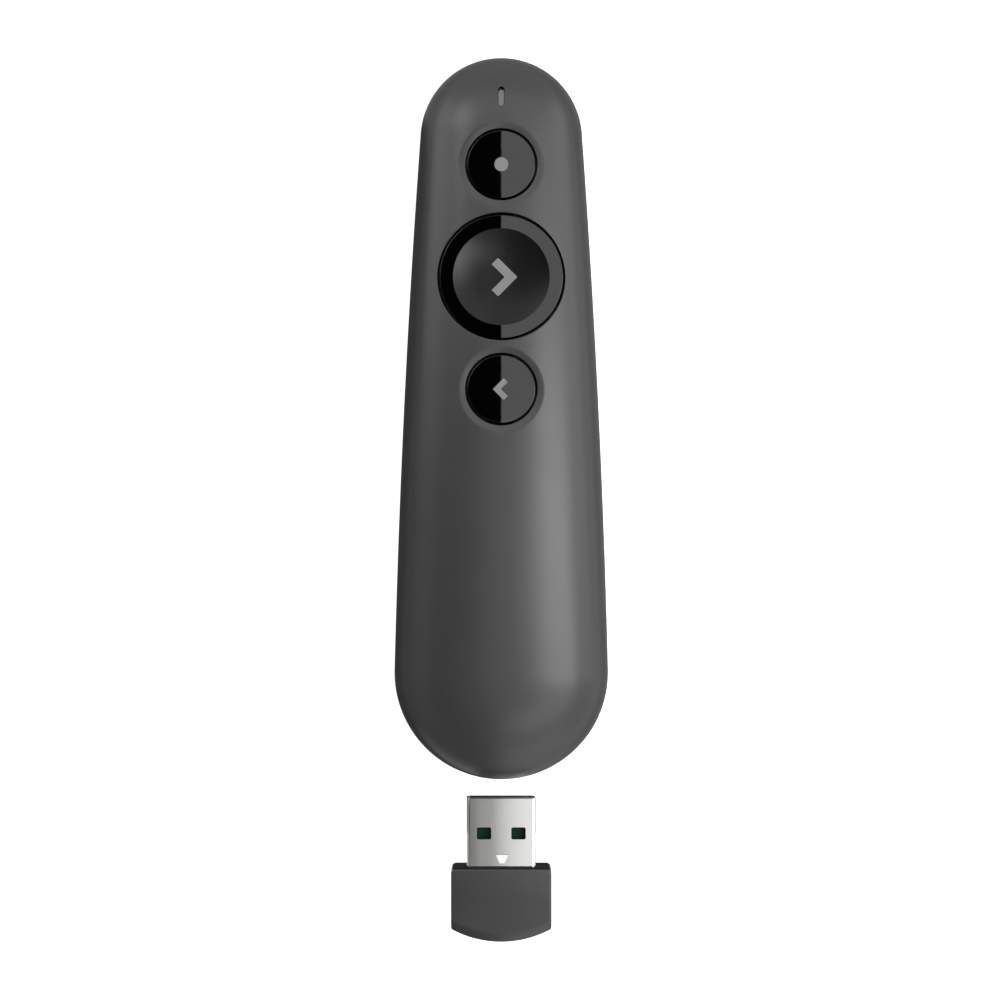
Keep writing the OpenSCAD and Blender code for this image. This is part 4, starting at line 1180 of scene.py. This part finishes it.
def glow(name, strength):
    """A plain glowing surface for a card, black where its strength is 0."""
    material = bpy.data.materials.new(name)
    material.use_nodes = True
    shader = material.node_tree.nodes["Principled BSDF"]
    shader.inputs["Base Color"].default_value = (0, 0, 0, 1)
    shader.inputs["Specular IOR Level"].default_value = 0.0
    shader.inputs["Emission Color"].default_value = WHITE
    shader.inputs["Emission Strength"].default_value = strength
    return material


def card(name, corners, strength):
    """A flat card of four corners that only gloss sees."""
    piece = piece_from(name, (corners, [(0, 1, 2, 3)]))
    piece.data.materials.append(glow(name, strength))
    piece.visible_camera = False
    piece.visible_diffuse = False
    piece.visible_transmission = False
    piece.visible_shadow = False


def level(x0, x1, y0, y1, z):
    """Corners of a card that lies level."""
    return [(x0, y0, z), (x0, y1, z), (x1, y1, z), (x1, y0, z)]


def upright(x0, y0, x1, y1):
    """Corners of a card that stands on the table."""
    return [(x0, y0, WALL_FOOT), (x1, y1, WALL_FOOT), (x1, y1, CARD_Z), (x0, y0, CARD_Z)]


def lamp(name, at, aim, size, power):
    """A soft oblong lamp at a place, turned towards another: both in mm."""
    data = bpy.data.lights.new(name, "AREA")
    data.shape = "RECTANGLE"
    data.size, data.size_y = size[0] * MM, size[1] * MM
    data.energy = power
    light = bpy.data.objects.new(name, data)
    light.location = [v * MM for v in at]
    towards = (Vector(aim) - Vector(at)).normalized()
    light.rotation_euler = towards.to_track_quat("-Z", "Y").to_euler()
    scene.collection.objects.link(light)


def joined(tree, how, one, other):
    """A math node that joins two sockets, or a socket and a number."""
    node = tree.nodes.new("ShaderNodeMath")
    node.operation = how
    for socket, value in zip(node.inputs, (one, other)):
        if isinstance(value, float):
            socket.default_value = value
        else:
            tree.links.new(value, socket)
    return node.outputs[0]


def shown(tree):
    """1 for what the camera, a reflection or clear plastic shows, and 0 for light on things."""
    path = tree.nodes.new("ShaderNodeLightPath")
    mirrored = joined(tree, "MAXIMUM", path.outputs["Is Glossy Ray"],
                      path.outputs["Is Transmission Ray"])
    return joined(tree, "MAXIMUM", path.outputs["Is Camera Ray"], mirrored)


table = piece_from("table", (level(-TABLE_R, TABLE_R, -TABLE_R, TABLE_R, 0), [(3, 2, 1, 0)]))
table_white = bpy.data.materials.new("table_white")
table_white.use_nodes = True
tree = table_white.node_tree
shader = tree.nodes["Principled BSDF"]
shader.inputs["Base Color"].default_value = (0.8, 0.8, 0.8, 1)
shader.inputs["Roughness"].default_value = 0.9
shader.inputs["Specular IOR Level"].default_value = 0.1
shader.inputs["Emission Color"].default_value = WHITE
tree.links.new(joined(tree, "MULTIPLY", shown(tree), TABLE_GLOW),
               shader.inputs["Emission Strength"])
table.data.materials.append(table_white)

world = bpy.data.worlds.new("studio")
scene.world = world
world.use_nodes = True
tree = world.node_tree
background = tree.nodes["Background"]
background.inputs["Color"].default_value = WHITE
tree.links.new(joined(tree, "MAXIMUM", shown(tree), WORLD_DIM), background.inputs["Strength"])

lamp("key_lamp", at=(260, -20, 455), aim=(0, 0, 15), size=(240, 500), power=1.9)
lamp("nose_lamp", at=(-300, 300, 450), aim=(0, 50, 15), size=(200, 300), power=0.6)

# The ceiling: each card's name, its span in x, its span in y, and its glow.
for name, x0, x1, y0, y1, strength in (
        ("strip_right", SPLIT_X, STRIP_X, STRIP_TAIL, STRIP_NOSE, 1.95),
        ("strip_left", -STRIP_X, SPLIT_X, STRIP_TAIL, STRIP_NOSE, 0.0),
        ("right_near", STRIP_X, MID_X, STRIP_TAIL, STRIP_NOSE, 0.35),
        ("right_far", MID_X, OUT_X, 35, STRIP_NOSE, 1.0),
        ("key_near", NEAR_X, MID_X, KEY_TAIL, 0, 5.0),
        ("key_far", MID_X, OUT_X, KEY_TAIL, 35, 3.3),
        ("middle_right", 0, NEAR_X, TAIL_END, STRIP_TAIL, 2.4),
        ("gap_right", NEAR_X, MID_X, 0, STRIP_TAIL, 1.8),
        ("middle_left", -NEAR_X, 0, TAIL_END, STRIP_TAIL, 0.1),
        ("left_near", -FAR, -STRIP_X, 40, STRIP_NOSE, 0.4),
        ("left_dark", -FAR, -STRIP_X, STRIP_TAIL, 40, 0.1),
        ("left_far", -FAR, -NEAR_X, TAIL_END, STRIP_TAIL, 0.1),
        ("nose_left", -FAR, NEAR_X, STRIP_NOSE, FAR, 1.4),
        ("nose_right", NEAR_X, FAR, STRIP_NOSE, FAR, 1.8),
        ("tail_left", -FAR, SPLIT_X, -FAR, TAIL_END, 0.2),
        ("tail_right", SPLIT_X, NEAR_X, -FAR, TAIL_END, 1.15),
        ("tail_dark", NEAR_X, OUT_X, -250, KEY_TAIL, 0.15),
        ("tail_key", NEAR_X, OUT_X, -450, -250, 3.2)):
    card(name, level(x0, x1, y0, y1, CARD_Z), strength)

# The walls: each card's name, where it begins, where it ends, and its glow.
for name, x0, y0, x1, y1, strength in (
        ("right_wall", FAR, -110, FAR, FAR, 2.5),
        ("right_tail_wall", FAR, -FAR, FAR, -110, 1.1),
        ("left_wall", -FAR, -FAR, -FAR, 120, 0.5),
        ("left_nose_wall", -FAR, 120, -FAR, FAR, 2.4),
        ("tail_wall_left", -FAR, -FAR, 0, -FAR, 0.3),
        ("tail_wall_right", 0, -FAR, FAR, -FAR, 1.6)):
    card(name, upright(x0, y0, x1, y1), strength)

# The floor, with the dimmer cards close around the case above the others.
for name, x0, x1, y0, y1, z, strength in (
        ("floor_left", -FAR, 0, -FAR, FLOOR_NOSE, FLOOR_Z, 0.3),
        ("floor_right", 0, FAR, -FAR, FLOOR_NOSE, FLOOR_Z, 1.1),
        ("floor_nose", -FAR, FAR, FLOOR_NOSE, FAR, FLOOR_Z, 0.8),
        ("floor_near_left", -FLOOR_X, 0, FLOOR_TAIL, FLOOR_NOSE, NEAR_Z, 0.08),
        ("floor_near_right", 0, FLOOR_X, FLOOR_TAIL, FLOOR_NOSE, NEAR_Z, 0.35),
        ("floor_receiver", -FLOOR_X, FLOOR_X, -90, FLOOR_TAIL, NEAR_Z, 0.7),
        ("floor_near_nose", -FLOOR_X, FLOOR_X, FLOOR_NOSE, 110, NEAR_Z, 0.4)):
    card(name, level(x0, x1, y0, y1, z), strength)

scene.view_settings.view_transform = "Standard"
